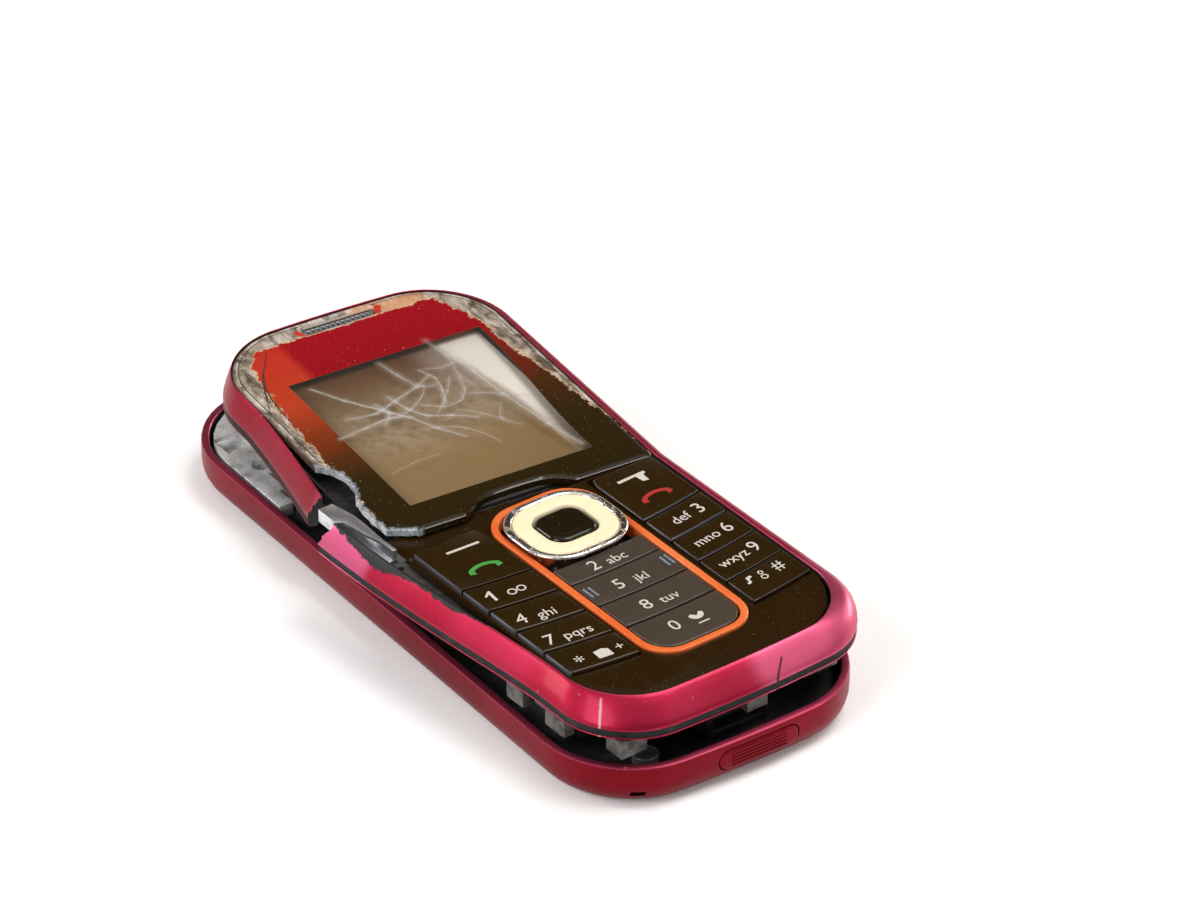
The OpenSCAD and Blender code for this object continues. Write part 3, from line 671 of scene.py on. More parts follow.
@dataclass(frozen=True)
class Moulding:
    """Moulded plastic or plated metal with grain, dirt and smears."""

    name: str
    base: Color
    dirt: Color = (0.10, 0.09, 0.08)
    dirt_amount: float = 0.3
    metallic: float = 0.0
    roughness: float = 0.5
    grain: float = 0.01
    grime_scale: float = 0.35
    coat: float = 0.0
    specular: float = 0.5

    def make(self) -> bpy.types.Material:
        """Builds the material.

        Returns:
            The material.
        """
        g = Graph(self.name)
        vector, _x, _y, _z = g.place()
        blotch = g.noise(vector, self.grime_scale, 5.0, 0.62)
        mask = g.smooth(blotch, 0.62 - 0.3 * self.dirt_amount, 0.72) * self.dirt_amount
        fine = g.noise(vector, 3.5, 4.0, 0.6)
        shade = g.mix(g.smooth(fine, 0.3, 0.75) * 0.25, self.base,
                      tuple(min(1.0, c * 1.5 + 0.01) for c in self.base))
        color = g.mix(mask, shade, self.dirt)
        rough = self.roughness + (fine - 0.5) * 0.16 + mask * 0.25
        return g.surface(Base_Color=color, Metallic=self.metallic, Roughness=rough & 1.0,
                         Coat_Weight=self.coat,
                         Specular_IOR_Level=self.specular, Normal=g.bump(fine + blotch * 0.5, self.grain))


@dataclass(frozen=True)
class GlossBlack:
    """Glossy dark plastic with a warm brown base colour that is a painted reflection of brown surroundings,
    smears, hair scratches and a painted blue-grey reflection on marked key rims.
    """

    name: str
    base: Color
    roughness: float = 0.16
    dust: float = 0.5

    def make(self) -> bpy.types.Material:
        """Builds the material.

        Returns:
            The material.
        """
        g = Graph(self.name)
        vector, _x, _y, _z = g.place(LOWER)
        smear = g.noise(g.stretch(vector, (0.6, 0.14, 0.3), 0.5), 0.9, 5.0, 0.6)
        speck = g.smooth(g.noise(vector, 3.2, 2.0, 0.5), 0.715, 0.75)
        scratch = g.smooth(g.noise(g.stretch(vector, (0.25, 5.5, 1.0), 0.85), 0.7, 3.0, 0.5), 0.70, 0.735)
        light = g.mix(g.smooth(smear, 0.35, 0.75) * 0.35, self.base, tuple(c * 1.5 for c in self.base))
        color = g.mix((speck * 0.45 + scratch * 0.06) * self.dust, light, (0.42, 0.38, 0.33))
        # Painted blue-grey reflection on key rims, where the mesh's rim attribute marks them
        color = g.mix(g.attribute("rim") * 0.55, color, (0.125, 0.145, 0.18))
        rough = self.roughness + g.smooth(smear, 0.3, 0.8) * 0.08 + speck * 0.3
        return g.surface(Base_Color=color, Roughness=rough, Specular_IOR_Level=0.3,
                         Normal=g.bump(smear + scratch * -0.3, 0.006))


@dataclass(frozen=True)
class Paint:
    """Plain ink or paint of one colour, slightly worn."""

    name: str
    base: Color
    roughness: float = 0.5
    worn: float = 0.15

    def make(self) -> bpy.types.Material:
        """Builds the material.

        Returns:
            The material.
        """
        g = Graph(self.name)
        vector, _x, _y, _z = g.place()
        wear = g.smooth(g.noise(vector, 2.2, 4.0, 0.65), 0.55, 0.75) * self.worn
        color = g.mix(wear, self.base, tuple(c * 0.3 for c in self.base))
        return g.surface(Base_Color=color, Roughness=self.roughness + wear * 0.5)


class Palette:
    """Every finish of the phone, made once."""

    def __init__(self) -> None:
        """Builds the shared materials."""
        self.frame_red = Lacquer("frame_lacquer", (0.33, 0.005, 0.028), (0.42, 0.017, 0.056),
                                 0.80, 0.38, 0.12, 1.0,
                                 pale_marks=(((-18.7, -46.9), (-20.9, -49.6), 0.26),),
                                 # Painted pink highlights on the lower stub, the chin and its right corner;
                                 # painted shade along the upper left rail and the top left corner
                                 painted_light_tints=(((-26.6, 7.0), (-25.6, 0.0), 3.2, (0.53, 0.09, 0.20)),
                                        ((6.0, -52.0), (17.0, -49.0), 5.0, (0.66, 0.10, 0.20)),
                                        ((18.5, -47.0), (22.5, -38.0), 4.5, (0.50, 0.07, 0.15)),
                                        ((-25.5, 14.4), (-20.7, 41.5), 4.5, (0.22, 0.002, 0.013)),
                                        ((-20.7, 41.5), (-13.0, 50.0), 4.0, (0.24, 0.003, 0.015))),
                                 dark_marks=(((7.1, -51.8), (5.2, -53.5), 0.2),
                                             ((5.2, -53.5), (6.8, -54.0), 0.16))
                                 ).make()
        self.shell_red = Lacquer("shell_lacquer", (0.175, 0.0013, 0.008), (0.24, 0.005, 0.018),
                                 0.86, 0.40, 0.06, 0.4).make()
        self.seam_dark = Moulding("frame_seam", (0.006, 0.005, 0.006), roughness=0.55, grain=0.01,
                                  specular=0.2).make()
        self.inside_black = Moulding("inside_black", (0.003, 0.003, 0.003), (0.05, 0.045, 0.04), 0.2,
                                     roughness=0.6).make()
        self.chassis = Moulding("chassis_black", (0.004, 0.004, 0.0045), (0.07, 0.065, 0.06), 0.3,
                                roughness=0.55).make()
        self.pale = Moulding("moulding_pale", (0.60, 0.56, 0.50), (0.16, 0.13, 0.11),
                             0.5, 0.1, 0.42, 0.03).make()
        self.carrier = Moulding("carrier_silver", (0.96, 0.95, 0.94), (0.03, 0.025, 0.022),
                                0.75, 0.40, 0.24, 0.10, 0.26).make()
        self.bright = Moulding("sheet_metal", (0.62, 0.63, 0.66), (0.10, 0.09, 0.08),
                               0.55, 0.9, 0.3, 0.02).make()
        self.dull_metal = Moulding("dull_steel", (0.25, 0.25, 0.26), (0.08, 0.07, 0.06),
                                   0.4, 0.8, 0.42, 0.02).make()
        self.bezel = Moulding("bezel_black", (0.005, 0.004, 0.004), (0.10, 0.095, 0.10),
                              0.45, 0.0, 0.6, 0.08, 1.3).make()
        self.gold = Moulding("gold_plate", (0.72, 0.50, 0.18), metallic=1.0, roughness=0.3).make()
        self.board = Moulding("solder_mask", (0.006, 0.022, 0.012), (0.02, 0.02, 0.018), 0.4,
                              roughness=0.4).make()
        self.foil = Moulding("battery_skin", (0.45, 0.46, 0.48), roughness=0.35, metallic=0.3).make()
        self.dark_part = Moulding("dark_part", (0.02, 0.02, 0.022), roughness=0.45).make()
        self.rubber = Moulding("silicone_black", (0.02, 0.02, 0.02), roughness=0.7).make()
        self.flex = Moulding("flex_amber", (0.50, 0.22, 0.05), roughness=0.35).make()
        self.guide = Moulding("light_guide_grey", (0.085, 0.080, 0.074), (0.006, 0.006, 0.005),
                              0.95, 0.0, 0.4, 0.05, 0.6).make()
        # The warm brown of face_gloss, key_gloss and select_gloss is a painted reflection of brown
        # surroundings
        self.face = GlossBlack("face_gloss", (0.021, 0.0095, 0.0018), 0.14).make()
        self.key_side = GlossBlack("key_gloss", (0.022, 0.0110, 0.0020), 0.15, 0.4).make()
        self.key_centre = Moulding("key_satin", (0.054, 0.038, 0.026), (0.20, 0.18, 0.16),
                                   0.06, 0.1, 0.36, 0.005).make()
        self.select = GlossBlack("select_gloss", (0.012, 0.0085, 0.0030), 0.12, 0.5).make()
        self.bar = Moulding("key_bar", (0.16, 0.19, 0.24), roughness=0.3, grain=0.004).make()
        self.orange = Lacquer("trim_orange", (0.78, 0.13, 0.020), (0.82, 0.20, 0.05),
                              0.1, 0.38, 0.2, 0.7).make()
        self.ink = Paint("legend_ink", (0.60, 0.56, 0.50)).make()
        self.ink_green = Paint("legend_green", (0.05, 0.30, 0.045)).make()
        self.ink_red = Paint("legend_red", (0.40, 0.018, 0.015)).make()


# ---------------------------------------------------------------- rear half

@dataclass
class RearShell:
    """The open rear shell with its oval end cover."""

    palette: Palette
    wall: float = 1.2
    floor: float = 1.1
    round_r: float = 3.6
    corner_r: float = 13.0
    cover_x: float = 1.5
    cover_w: float = 13.0
    cover_h: float = 3.2
    cover_z: float = 3.9
    slot_x: float = -16.5
    slot_z: float = 2.3
    slot_depth: float = 4.6

    def outline(self, inset: float) -> list[Point2]:
        """The closed phone's outline, pulled in.

        Args:
            inset: how far, in millimetres.

        Returns:
            Its points.
        """
        hw, end = LEVELS.half_w, LEVELS.half_l - END_BULGE - inset
        r = max(1.0, self.corner_r - inset)
        return bulged(round_rect(hw - inset, -end, end, r, r), hw, END_BULGE)

    def shell(self) -> bpy.types.Object:
        """The tray, red outside and black inside, with the cover's recess and the small slot.

        Returns:
            The tray.
        """
        rings, inner_r = [], self.round_r - self.wall
        steps = 8
        for i in range(steps + 1):
            a = math.radians(90 - 90 * i / steps)
            rings.append([(x, y, self.round_r * (1 - math.sin(a))) for x, y in
                          self.outline(self.round_r * (1 - math.cos(a)))])
        lip = ((0.0, 0.45), (0.08, 0.12), (0.30, 0.0), (self.wall - 0.15, 0.0), (self.wall, 0.15))
        rings += [[(x, y, LEVELS.shell_h - drop) for x, y in self.outline(inset)] for inset, drop in lip]
        for i in range(steps + 1):
            a = math.radians(90 * i / steps)
            rings.append([(x, y, self.floor + inner_r * (1 - math.sin(a))) for x, y in
                          self.outline(self.wall + inner_r * (1 - math.cos(a)))])
        verts, faces = loft(rings)
        piece = mesh_object("rear_shell_tray", verts, faces)
        piece.data.materials.append(self.palette.shell_red)
        piece.data.materials.append(self.palette.inside_black)
        limit = (LEVELS.half_w - self.wall + 0.05) * MM
        top = (LEVELS.shell_h - 0.14) * MM
        for face in piece.data.polygons:
            inside = face.center.z < top and face.normal.z > -0.5 and self._is_inside(face, limit)
            face.material_index = int(inside)
        self._cut(piece)
        return piece

    def _is_inside(self, face: bpy.types.MeshPolygon, limit: float) -> bool:
        """Tells an inner face: it looks towards the middle, or up from the floor.

        Args:
            face: a face of the tray.
            limit: half width of the tray's hollow, in metres.

        Returns:
            True for an inner face.
        """
        flat = Vector((face.center.x / LEVELS.half_w, face.center.y / LEVELS.half_l, 0.0))
        if abs(face.center.x) < limit and face.normal.z > 0.98:
            return True
        return flat.dot(Vector((face.normal.x, face.normal.y * 0.4, 0.0))) < -1e-6

    def _cut(self, piece: bpy.types.Object) -> None:
        """Cuts the recess for the end cover and the small slot.

        Args:
            piece: the tray.
        """
        depth = 1.5
        rings = []
        for y in (-LEVELS.half_l - 1.0, -LEVELS.half_l + depth):
            r, flat = self.cover_h / 2 + 0.12, self.cover_w / 2 - self.cover_h / 2
            loop = arc(flat, 0, r, -90, 90, 16) + arc(-flat, 0, r, 90, 270, 16)
            rings.append([(self.cover_x + u, y, self.cover_z + w) for u, w in loop])
        cutters = [mesh_object("cut_cover", *loft(rings))]
        x, z = self.slot_x, self.slot_z
        ring = [(x - 0.9, z - 0.4), (x + 0.9, z - 0.4), (x + 0.9, z + 0.4), (x - 0.9, z + 0.4)]
        reach = (-LEVELS.half_l - 1.0, -LEVELS.half_l + self.slot_depth)
        cutters.append(mesh_object("cut_slot", *loft([[(u, y, w) for u, w in ring] for y in reach])))
        for cutter in cutters:
            cut = piece.modifiers.new("cut", "BOOLEAN")
            cut.operation = "DIFFERENCE"
            cut.solver = "EXACT"
            cut.object = cutter
        graph = bpy.context.evaluated_depsgraph_get()
        mesh = bpy.data.meshes.new_from_object(piece.evaluated_get(graph), depsgraph=graph)
        piece.modifiers.clear()
        for cutter in cutters:
            bpy.data.objects.remove(cutter)
        piece.data = mesh
        # Points on the lip get edge 1, where the lacquer paints a pink highlight and chips more
        lip = (LEVELS.shell_h - 0.2) * MM
        on_lip = [float(vertex.co.z > lip) for vertex in mesh.vertices]
        mesh.attributes.new("edge", "FLOAT", "POINT").data.foreach_set("value", on_lip)
        mesh.shade_smooth()
        mesh.set_sharp_from_angle(angle=math.radians(32))

    def cover(self) -> bpy.types.Object:
        """The oval cover with its raised finger ribs.

        Returns:
            The cover.
        """
        r, flat = self.cover_h / 2, self.cover_w / 2 - self.cover_h / 2
        y_face = -LEVELS.half_l
        profile = ((0.0, 1.5), (0.0, 0.35), (0.1, 0.12), (0.35, 0.0), (0.7, -0.02))
        rings = []
        for inset, back in profile:
            loop = arc(flat, 0, r - inset, -90, 90, 16) + arc(-flat, 0, r - inset, 90, 270, 16)
            rings.append([(self.cover_x + u, y_face + back, self.cover_z + w) for u, w in loop][::-1])
        verts, faces = loft(rings)
        return mesh_object("end_cover_plug", verts, faces)

    def build(self) -> None:
        """Builds and enlists the shell and its cover."""
        enlist(self.shell(), None, "rear_shell")
        plug = self.cover()
        ribs = RibRow(count=5, pitch=0.52, length=self.cover_w - 4.2, width=0.20, height=0.24)
        enlist(plug, self.palette.shell_red, "end_cover")
        row = ribs.make("end_cover_ribs", self.palette.shell_red,
                        Matrix.Translation((self.cover_x * MM, -LEVELS.half_l * MM, self.cover_z * MM)))
        enlist(row, None, body="root", slot="shell_red")


@dataclass(frozen=True)
class RibRow:
    """A row of low straight ribs made by a node tree."""

    count: int
    pitch: float
    length: float
    width: float
    height: float

    def make(self, name: str, material: bpy.types.Material, where: Matrix) -> bpy.types.Object:
        """Builds the ribs.

        Args:
            name: the piece's name.
            material: its material.
            where: the middle of the row; the ribs run along X and stack along Z.

        Returns:
            The ribs as one plain mesh.
        """
        tree = GeoTree("rib_row", {"Count": self.count, "Pitch": self.pitch * MM, "Length": self.length * MM,
                                   "Width": self.width * MM, "Height": self.height * MM})
        line = tree.node("GeometryNodeMeshLine", {"mode": "OFFSET"}, {"Count": tree.entry("Count")})
        step = tree.node("ShaderNodeCombineXYZ", None, {"Z": tree.entry("Pitch")})
        tree.link(step.outputs[0], line.inputs["Offset"])
        size = tree.node("ShaderNodeCombineXYZ", None, {
            "X": tree.entry("Length"), "Y": tree.entry("Height"), "Z": tree.entry("Width")})
        rib = tree.node("GeometryNodeMeshCube", None, {"Vertices X": 9, "Vertices Y": 2, "Vertices Z": 2})
        tree.link(size.outputs[0], rib.inputs["Size"])
        put = tree.node("GeometryNodeInstanceOnPoints")
        tree.link(line.outputs[0], put.inputs["Points"])
        tree.link(rib.outputs["Mesh"], put.inputs["Instance"])
        made = tree.finish(put.outputs[0], name, material)
        made.data.transform(Matrix.Translation((0, 0, -self.pitch * MM * (self.count - 1) / 2)))
        made.data.transform(where)
        return made


class GeoTree:
    """A Geometry Nodes tree with named inputs, turned into a plain mesh."""

    def __init__(self, name: str, entries: dict[str, float]) -> None:
        """Makes the tree.

        Args:
            name: the tree's name.
            entries: input names and values; whole numbers become integer inputs.
        """
        self.tree = bpy.data.node_groups.new(name, "GeometryNodeTree")
        self.values = entries
        face = self.tree.interface
        face.new_socket("Geometry", in_out="INPUT", socket_type="NodeSocketGeometry")
        self.sockets = {}
        for key, value in entries.items():
            kind = "NodeSocketInt" if isinstance(value, int) else "NodeSocketFloat"
            self.sockets[key] = face.new_socket(key, in_out="INPUT", socket_type=kind)
        face.new_socket("Geometry", in_out="OUTPUT", socket_type="NodeSocketGeometry")
        self.source = self.tree.nodes.new("NodeGroupInput")

    def entry(self, name: str) -> bpy.types.NodeSocket:
        """The socket of a named input, or of the incoming geometry."""
        return self.source.outputs[name]

    def link(self, a: bpy.types.NodeSocket, b: bpy.types.NodeSocket) -> None:
        """Links two sockets."""
        self.tree.links.new(a, b)

    def node(self, kind: str, settings: dict[str, Any] | None = None,
             inputs: dict[Any, Any] | None = None) -> bpy.types.Node:
        """Adds a node with settings, then values or links.

        Args:
            kind: the node's type.
            settings: properties set first.
            inputs: sockets to link or numbers to set.

        Returns:
            The node.
        """
        made = self.tree.nodes.new(kind)
        for key, value in (settings or {}).items():
            setattr(made, key, value)
        for key, value in (inputs or {}).items():
            if isinstance(value, bpy.types.NodeSocket):
                self.link(value, made.inputs[key])
            else:
                made.inputs[key].default_value = value
        return made

    def finish(self, socket: bpy.types.NodeSocket, name: str, material: bpy.types.Material,
               host: bpy.types.Object | None = None) -> bpy.types.Object:
        """Ends the tree, evaluates it and returns the result.

        Args:
            socket: the geometry to output.
            name: the piece's name.
            material: the material that the tree sets.
            host: an object whose geometry feeds the tree; removed afterwards.

        Returns:
            The plain mesh piece.
        """
        real = self.node("GeometryNodeRealizeInstances")
        dress = self.node("GeometryNodeSetMaterial", None, {"Material": material})
        end = self.node("NodeGroupOutput")
        self.link(socket, real.inputs[0])
        self.link(real.outputs[0], dress.inputs[0])
        self.link(dress.outputs[0], end.inputs[0])
        if host is None:
            host = bpy.data.objects.new(name + "_host", bpy.data.meshes.new(name + "_host"))
            bpy.context.scene.collection.objects.link(host)
        modifier = host.modifiers.new("tree", "NODES")
        modifier.node_group = self.tree
        for key, value in self.values.items():
            modifier[self.sockets[key].identifier] = value
        return applied(host, name)


@dataclass
class RearInside:
    """What lies in the shell: chassis, battery, board and the small parts round them."""

    palette: Palette

    def build(self) -> None:
        """Dresses each inner node."""
        p = self.palette
        rounded = {
            "rear_chassis": (p.chassis, 0.15), "antenna_carrier": (p.carrier, 0.35), "battery": (p.foil, 0.4),
            "system_connector": (p.dark_part, 0.2), "circuit_board": (p.board, 0.08),
            "shield_cans": (p.bright, 0.2), "sim_holder": (p.bright, 0.08), "loudspeaker": (p.dark_part, 0.2),
            "vibration_motor": (p.bright, 0.25), "microphone": (p.dull_metal, 0.15),
            "battery_contacts": (p.gold, 0.1), "board_screws": (p.dull_metal, 0.12),
            "display_bezel": (p.bezel, 0.06), "display_backlight": (p.pale, 0.1),
            "display_flex": (p.flex, 0.02), "lens_gasket": (p.rubber, 0.08), "earpiece": (p.dark_part, 0.15),
            "dome_sheet": (p.pale, 0.03), "key_mat": (p.rubber, 0.1), "nav_actuator": (p.pale, 0.08)}
        for node, (material, width) in rounded.items():
            enlist(bevelled(node, node + "_part", width, 2), material, node)


# ---------------------------------------------------------------- front frame

# Inner limit of the lacquer on the lower stub, as height and distance from the centre line, in the keypad
# half's plan
TORN: tuple[Point2, ...] = ((-24.0, -20.4), (-18.7, -22.3), (-12.6, -23.4), (-5.3, -23.7), (-0.1, -24.6),
                            (2.2, -25.1), (6.1, -24.9), (9.2, -24.6), (14.5, -24.2))


# The rail's lacquered face from its lower edge to its inner edge, as share across and drop below the top:
# a round where the rail is whole, a facet along the chin and the left side.
ROUND_FACE: tuple[Point2, ...] = ((0.01, 3.5), (0.0, 3.2), (0.01, 2.7), (0.04, 2.2), (0.10, 1.62),
                                  (0.18, 1.2), (0.29, 0.79), (0.42, 0.45), (0.58, 0.22), (0.75, 0.07),
                                  (0.90, 0.01), (0.965, 0.04))
FLAT_FACE: tuple[Point2, ...] = ((0.015, 3.5), (0.03, 3.3), (0.07, 3.02), (0.16, 2.64), (0.27, 2.20),
                                 (0.38, 1.80), (0.50, 1.38), (0.62, 0.95), (0.73, 0.60), (0.83, 0.30),
                                 (0.91, 0.09), (0.965, 0.04))
# Edge wear per face point; it also sets the lacquer's painted pink edge highlight
FACE_WEAR_AND_SHEEN = (0.5, 0.4, 0.2, 0.1, 0.1, 0.1, 0.2, 0.2, 0.3, 0.3, 0.6, 1.0)


@dataclass
class FrontFrame:
    """The moulded ring, swept from the lower stub of the broken rail round to the upper stub."""

    palette: Palette
    rail_w: float = 2.6
    chin_w: float = 3.4
    top_w: float = 0.9
    taper: float = 0.85
    outer_r: Point2 = (10.5, 13.0)
    inner_r: Point2 = (9.5, 11.2)
    side_ledge: float = 0.4
    chin_ledge: float = 1.3
    break_low: float = 12.2
    break_high: float = 13.6
    low_tip: float = 2.1
    high_tip: float = 1.2
    low_splay: float = 3.2
    high_splay: float = 2.8
    splay_low_end: float = -33.0
    splay_high_end: float = 38.0
    ledge_top: float = 13.95
    ledge_t: float = 0.95
    seam_left: float = 1.30
    seam_chin: float = 0.50

    def path(self, widths: Point2, ends: Point2, radii: Point2, start: float, end: float) -> list[Point2]:
        """A loop round the closed phone from one stub to the other.

        Args:
            widths: half width at the chin and at the top.
            ends: the chin's end and the top end.
            radii: corner radii at the chin and at the top.
            start: where the lower stub begins.
            end: where the upper stub ends.

        Returns:
            Points of the closed phone's plan.
        """
        (w0, w1), (r0, r1) = widths, radii
        low_y, high_y = ends[0] + r0 + END_BULGE, ends[1] - r1 - END_BULGE

        def side(y: float) -> float:
            """Half width at a height."""
            return w0 + (w1 - w0) * (y - low_y) / (high_y - low_y)

        low = [(-side(y), y) for y in (start + (low_y - start) * i / 48 for i in range(48))]
        high = [(-side(y), y) for y in (high_y + (end - high_y) * i / 44 for i in range(1, 45))]
        loop = (low + arc(r0 - w0, low_y, r0, 180, 270, 18)
                + between((r0 - w0, low_y - r0), (w0 - r0, low_y - r0), 20)
                + arc(w0 - r0, low_y, r0, -90, 0, 18) + between((w0, low_y), (w1, high_y), 80)
                + arc(w1 - r1, high_y, r1, 0, 90, 18)
                + between((w1 - r1, high_y + r1), (r1 - w1, high_y + r1), 20)
                + arc(r1 - w1, high_y, r1, 90, 180, 18) + high)
        return bulged(loop, LEVELS.half_w, END_BULGE)

    def inner(self, w: float, chin: float, top: float) -> list[Point2]:
        """The path at a distance inside the outer edge.

        Args:
            w: distance at the sides.
            chin: distance at the chin.
            top: distance at the top.

        Returns:
            Its points.
        """
        hw = LEVELS.half_w - w
        return self.path((hw, hw), (chin - KEYPAD_L, FRONT_TOP - top), self.inner_r,
                         self.break_low, self.break_high)

    def pushed(self, p: Point2, low: bool) -> Point2:
        """A point of the closed phone, moved sideways with its stub of the left rail.

        Args:
            p: the point.
            low: whether it belongs to the lower stub.

        Returns:
            The moved point.
        """
        x, y = p
        if x >= 0:
            return p
        if low:
            t = max(0.0, min(1.0, (y - self.splay_low_end) / (self.break_low - self.splay_low_end)))
            push = self.low_splay * math.sin(math.pi / 2 * t) ** 1.3
        else:
            t = max(0.0, (self.splay_high_end - y) / (self.splay_high_end - self.break_high))
            push = self.high_splay * t ** 1.3
        return (x - push * min(1.0, -x / (LEVELS.half_w - self.rail_w)), y)

    @staticmethod
    def torn(p: Point2) -> float:
        """How far a point lies inside the lacquer's torn limit: 0.5 on it, 1 well inside the bare strip.

        Args:
            p: the point.

        Returns:
            The share, 0 to 1.
        """
        for (y0, x0), (y1, x1) in zip(TORN, TORN[1:]):
            if y0 <= p[1] <= y1:
                line = x0 + (x1 - x0) * (p[1] - y0) / (y1 - y0)
                return max(0.0, min(1.0, 0.5 + 0.25 * (p[0] - line)))
        return 0.0

    def facet(self, p: Point2) -> float:
        """How far the rail's face is a flat facet: 1 along the chin and left side, 0 at the right and top.

        Args:
            p: the point.

        Returns:
            The share, 0 to 1.
        """
        hw = LEVELS.half_w
        share = (0.95 * hw - p[0] if p[1] < self.outer_r[0] - KEYPAD_L else -0.4 * hw - p[0]) / (0.4 * hw)
        return max(0.0, min(1.0, share))

    def section(self, f: float, seam: float) -> list[tuple[float, float, float]]:
        """The rail's cross-section.

        Args:
            f: how far the face is a flat facet.
            seam: height of the dark band above the lower lip.

        Returns:
            Across (0 outer, 1 inner wall, 2 ledge lip), height and edge wear of each point; the edge wear
            also sets the painted pink edge highlight.
        """
        z0, top, ledge = LEVELS.frame_z0, LEVELS.frame_z1, self.ledge_top
        face = [(r[0] + (q[0] - r[0]) * f, top - r[1] - (q[1] - r[1]) * f, wear)
                for r, q, wear in zip(ROUND_FACE, FLAT_FACE, FACE_WEAR_AND_SHEEN)]
        return ([(0.10, z0, 0.1), (0.03, z0 + 0.08, 0.3), (0.01, z0 + 0.22, 0.3), (0.03, z0 + 0.29, 0.2),
                 (0.05, z0 + 0.34, 0.0), (0.05, z0 + seam, 0.0)] + face
                + [(1.0, top - 0.16, 0.8), (1.0, top - 0.8, 0.2),
                   (1.0, ledge, 0.0), (2.0, ledge, 0.0), (2.0, ledge - self.ledge_t, 0.0),
                   (1.0, ledge - self.ledge_t, 0.0), (1.0, z0 + 1.2, 0.0), (0.6, z0, 0.0)])

    def build(self) -> None:
        """Sweeps the section round the path and dresses it."""
        hw = LEVELS.half_w
        outer = self.path((hw, hw - self.taper), (-KEYPAD_L, FRONT_TOP), self.outer_r,
                          self.break_low + self.low_tip, self.break_high + self.high_tip)
        inner = self.inner(self.rail_w, self.chin_w, self.top_w)
        ledge = self.inner(self.rail_w + self.side_ledge, self.chin_w + self.chin_ledge,
                           self.top_w + self.side_ledge)
        rings, wear, torn = [], [], []
        rng = random.Random(11)
        last = len(outer) - 1
        for i, (o, n, d) in enumerate(zip(outer, inner, ledge)):
            ring, low = [], i < last / 2
            seam = self.seam_chin + (self.seam_left - self.seam_chin) * max(0.0, min(1.0, -o[0] / 12.0 - 0.6))
            for across, z, edge in self.section(self.facet(o), seam):
                a, b, t = (o, n, across) if across <= 1 else (n, d, across - 1)
                x, y = a[0] + (b[0] - a[0]) * t, a[1] + (b[1] - a[1]) * t
                if i in (0, last):
                    y += rng.uniform(0.0, 0.55) * (-1 if low else 1)
                elif i in (1, last - 1):
                    y += rng.uniform(-0.15, 0.2) * (-1 if low else 1)
                moved = self.pushed((x, y), low)
                upper = y > 0 and not (low and x < 0)
                ring.append((*(UPPER if upper else LOWER).apply(moved), z))
                # The edge value sets the lacquer's chips and its painted pink edge highlight
                near_end = max(0.0, 1.0 - min(i, last - i) / 4.0)
                wear.append(min(1.0, edge + near_end * 0.6))
                torn.append(self.torn(moved) if low and x < 0 else 0.0)
            rings.append(ring)
        piece = mesh_object("front_frame_ring", *loft(rings), 40)
        mesh = piece.data
        for name, data in (("edge", wear), ("torn", torn)):
            mesh.attributes.new(name, "FLOAT", "POINT").data.foreach_set("value", data)
        for material in (self.palette.frame_red, self.palette.seam_dark, self.palette.inside_black):
            mesh.materials.append(material)
        n = len(rings[0])
        for index, face in enumerate(mesh.polygons):
            k = index % n
            if index >= last * n or k >= 18:
                face.material_index = 2
            elif k in (3, 4, 5):
                face.material_index = 1
        enlist(piece, None, "front_frame")


# ---------------------------------------------------------------- display half

def near_segments(p: Vector, segments: Sequence[tuple[Vector, Vector, float, float]]) -> float:
    """Haze at a point: a soft band round each crack segment (ends, width, strength).

    Args:
        p: the point.
        segments: the crack segments.

    Returns:
        The haze, 0 to 1.
    """
    total = 0.0
    for a, b, width, strength in segments:
        ab = b - a
        t = max(0.0, min(1.0, (p - a).dot(ab) / ab.length_squared))
        d = (p - a - ab * t).length / width
        if d < 3.0:
            total += strength * math.exp(-d * d)
    return min(1.0, total)


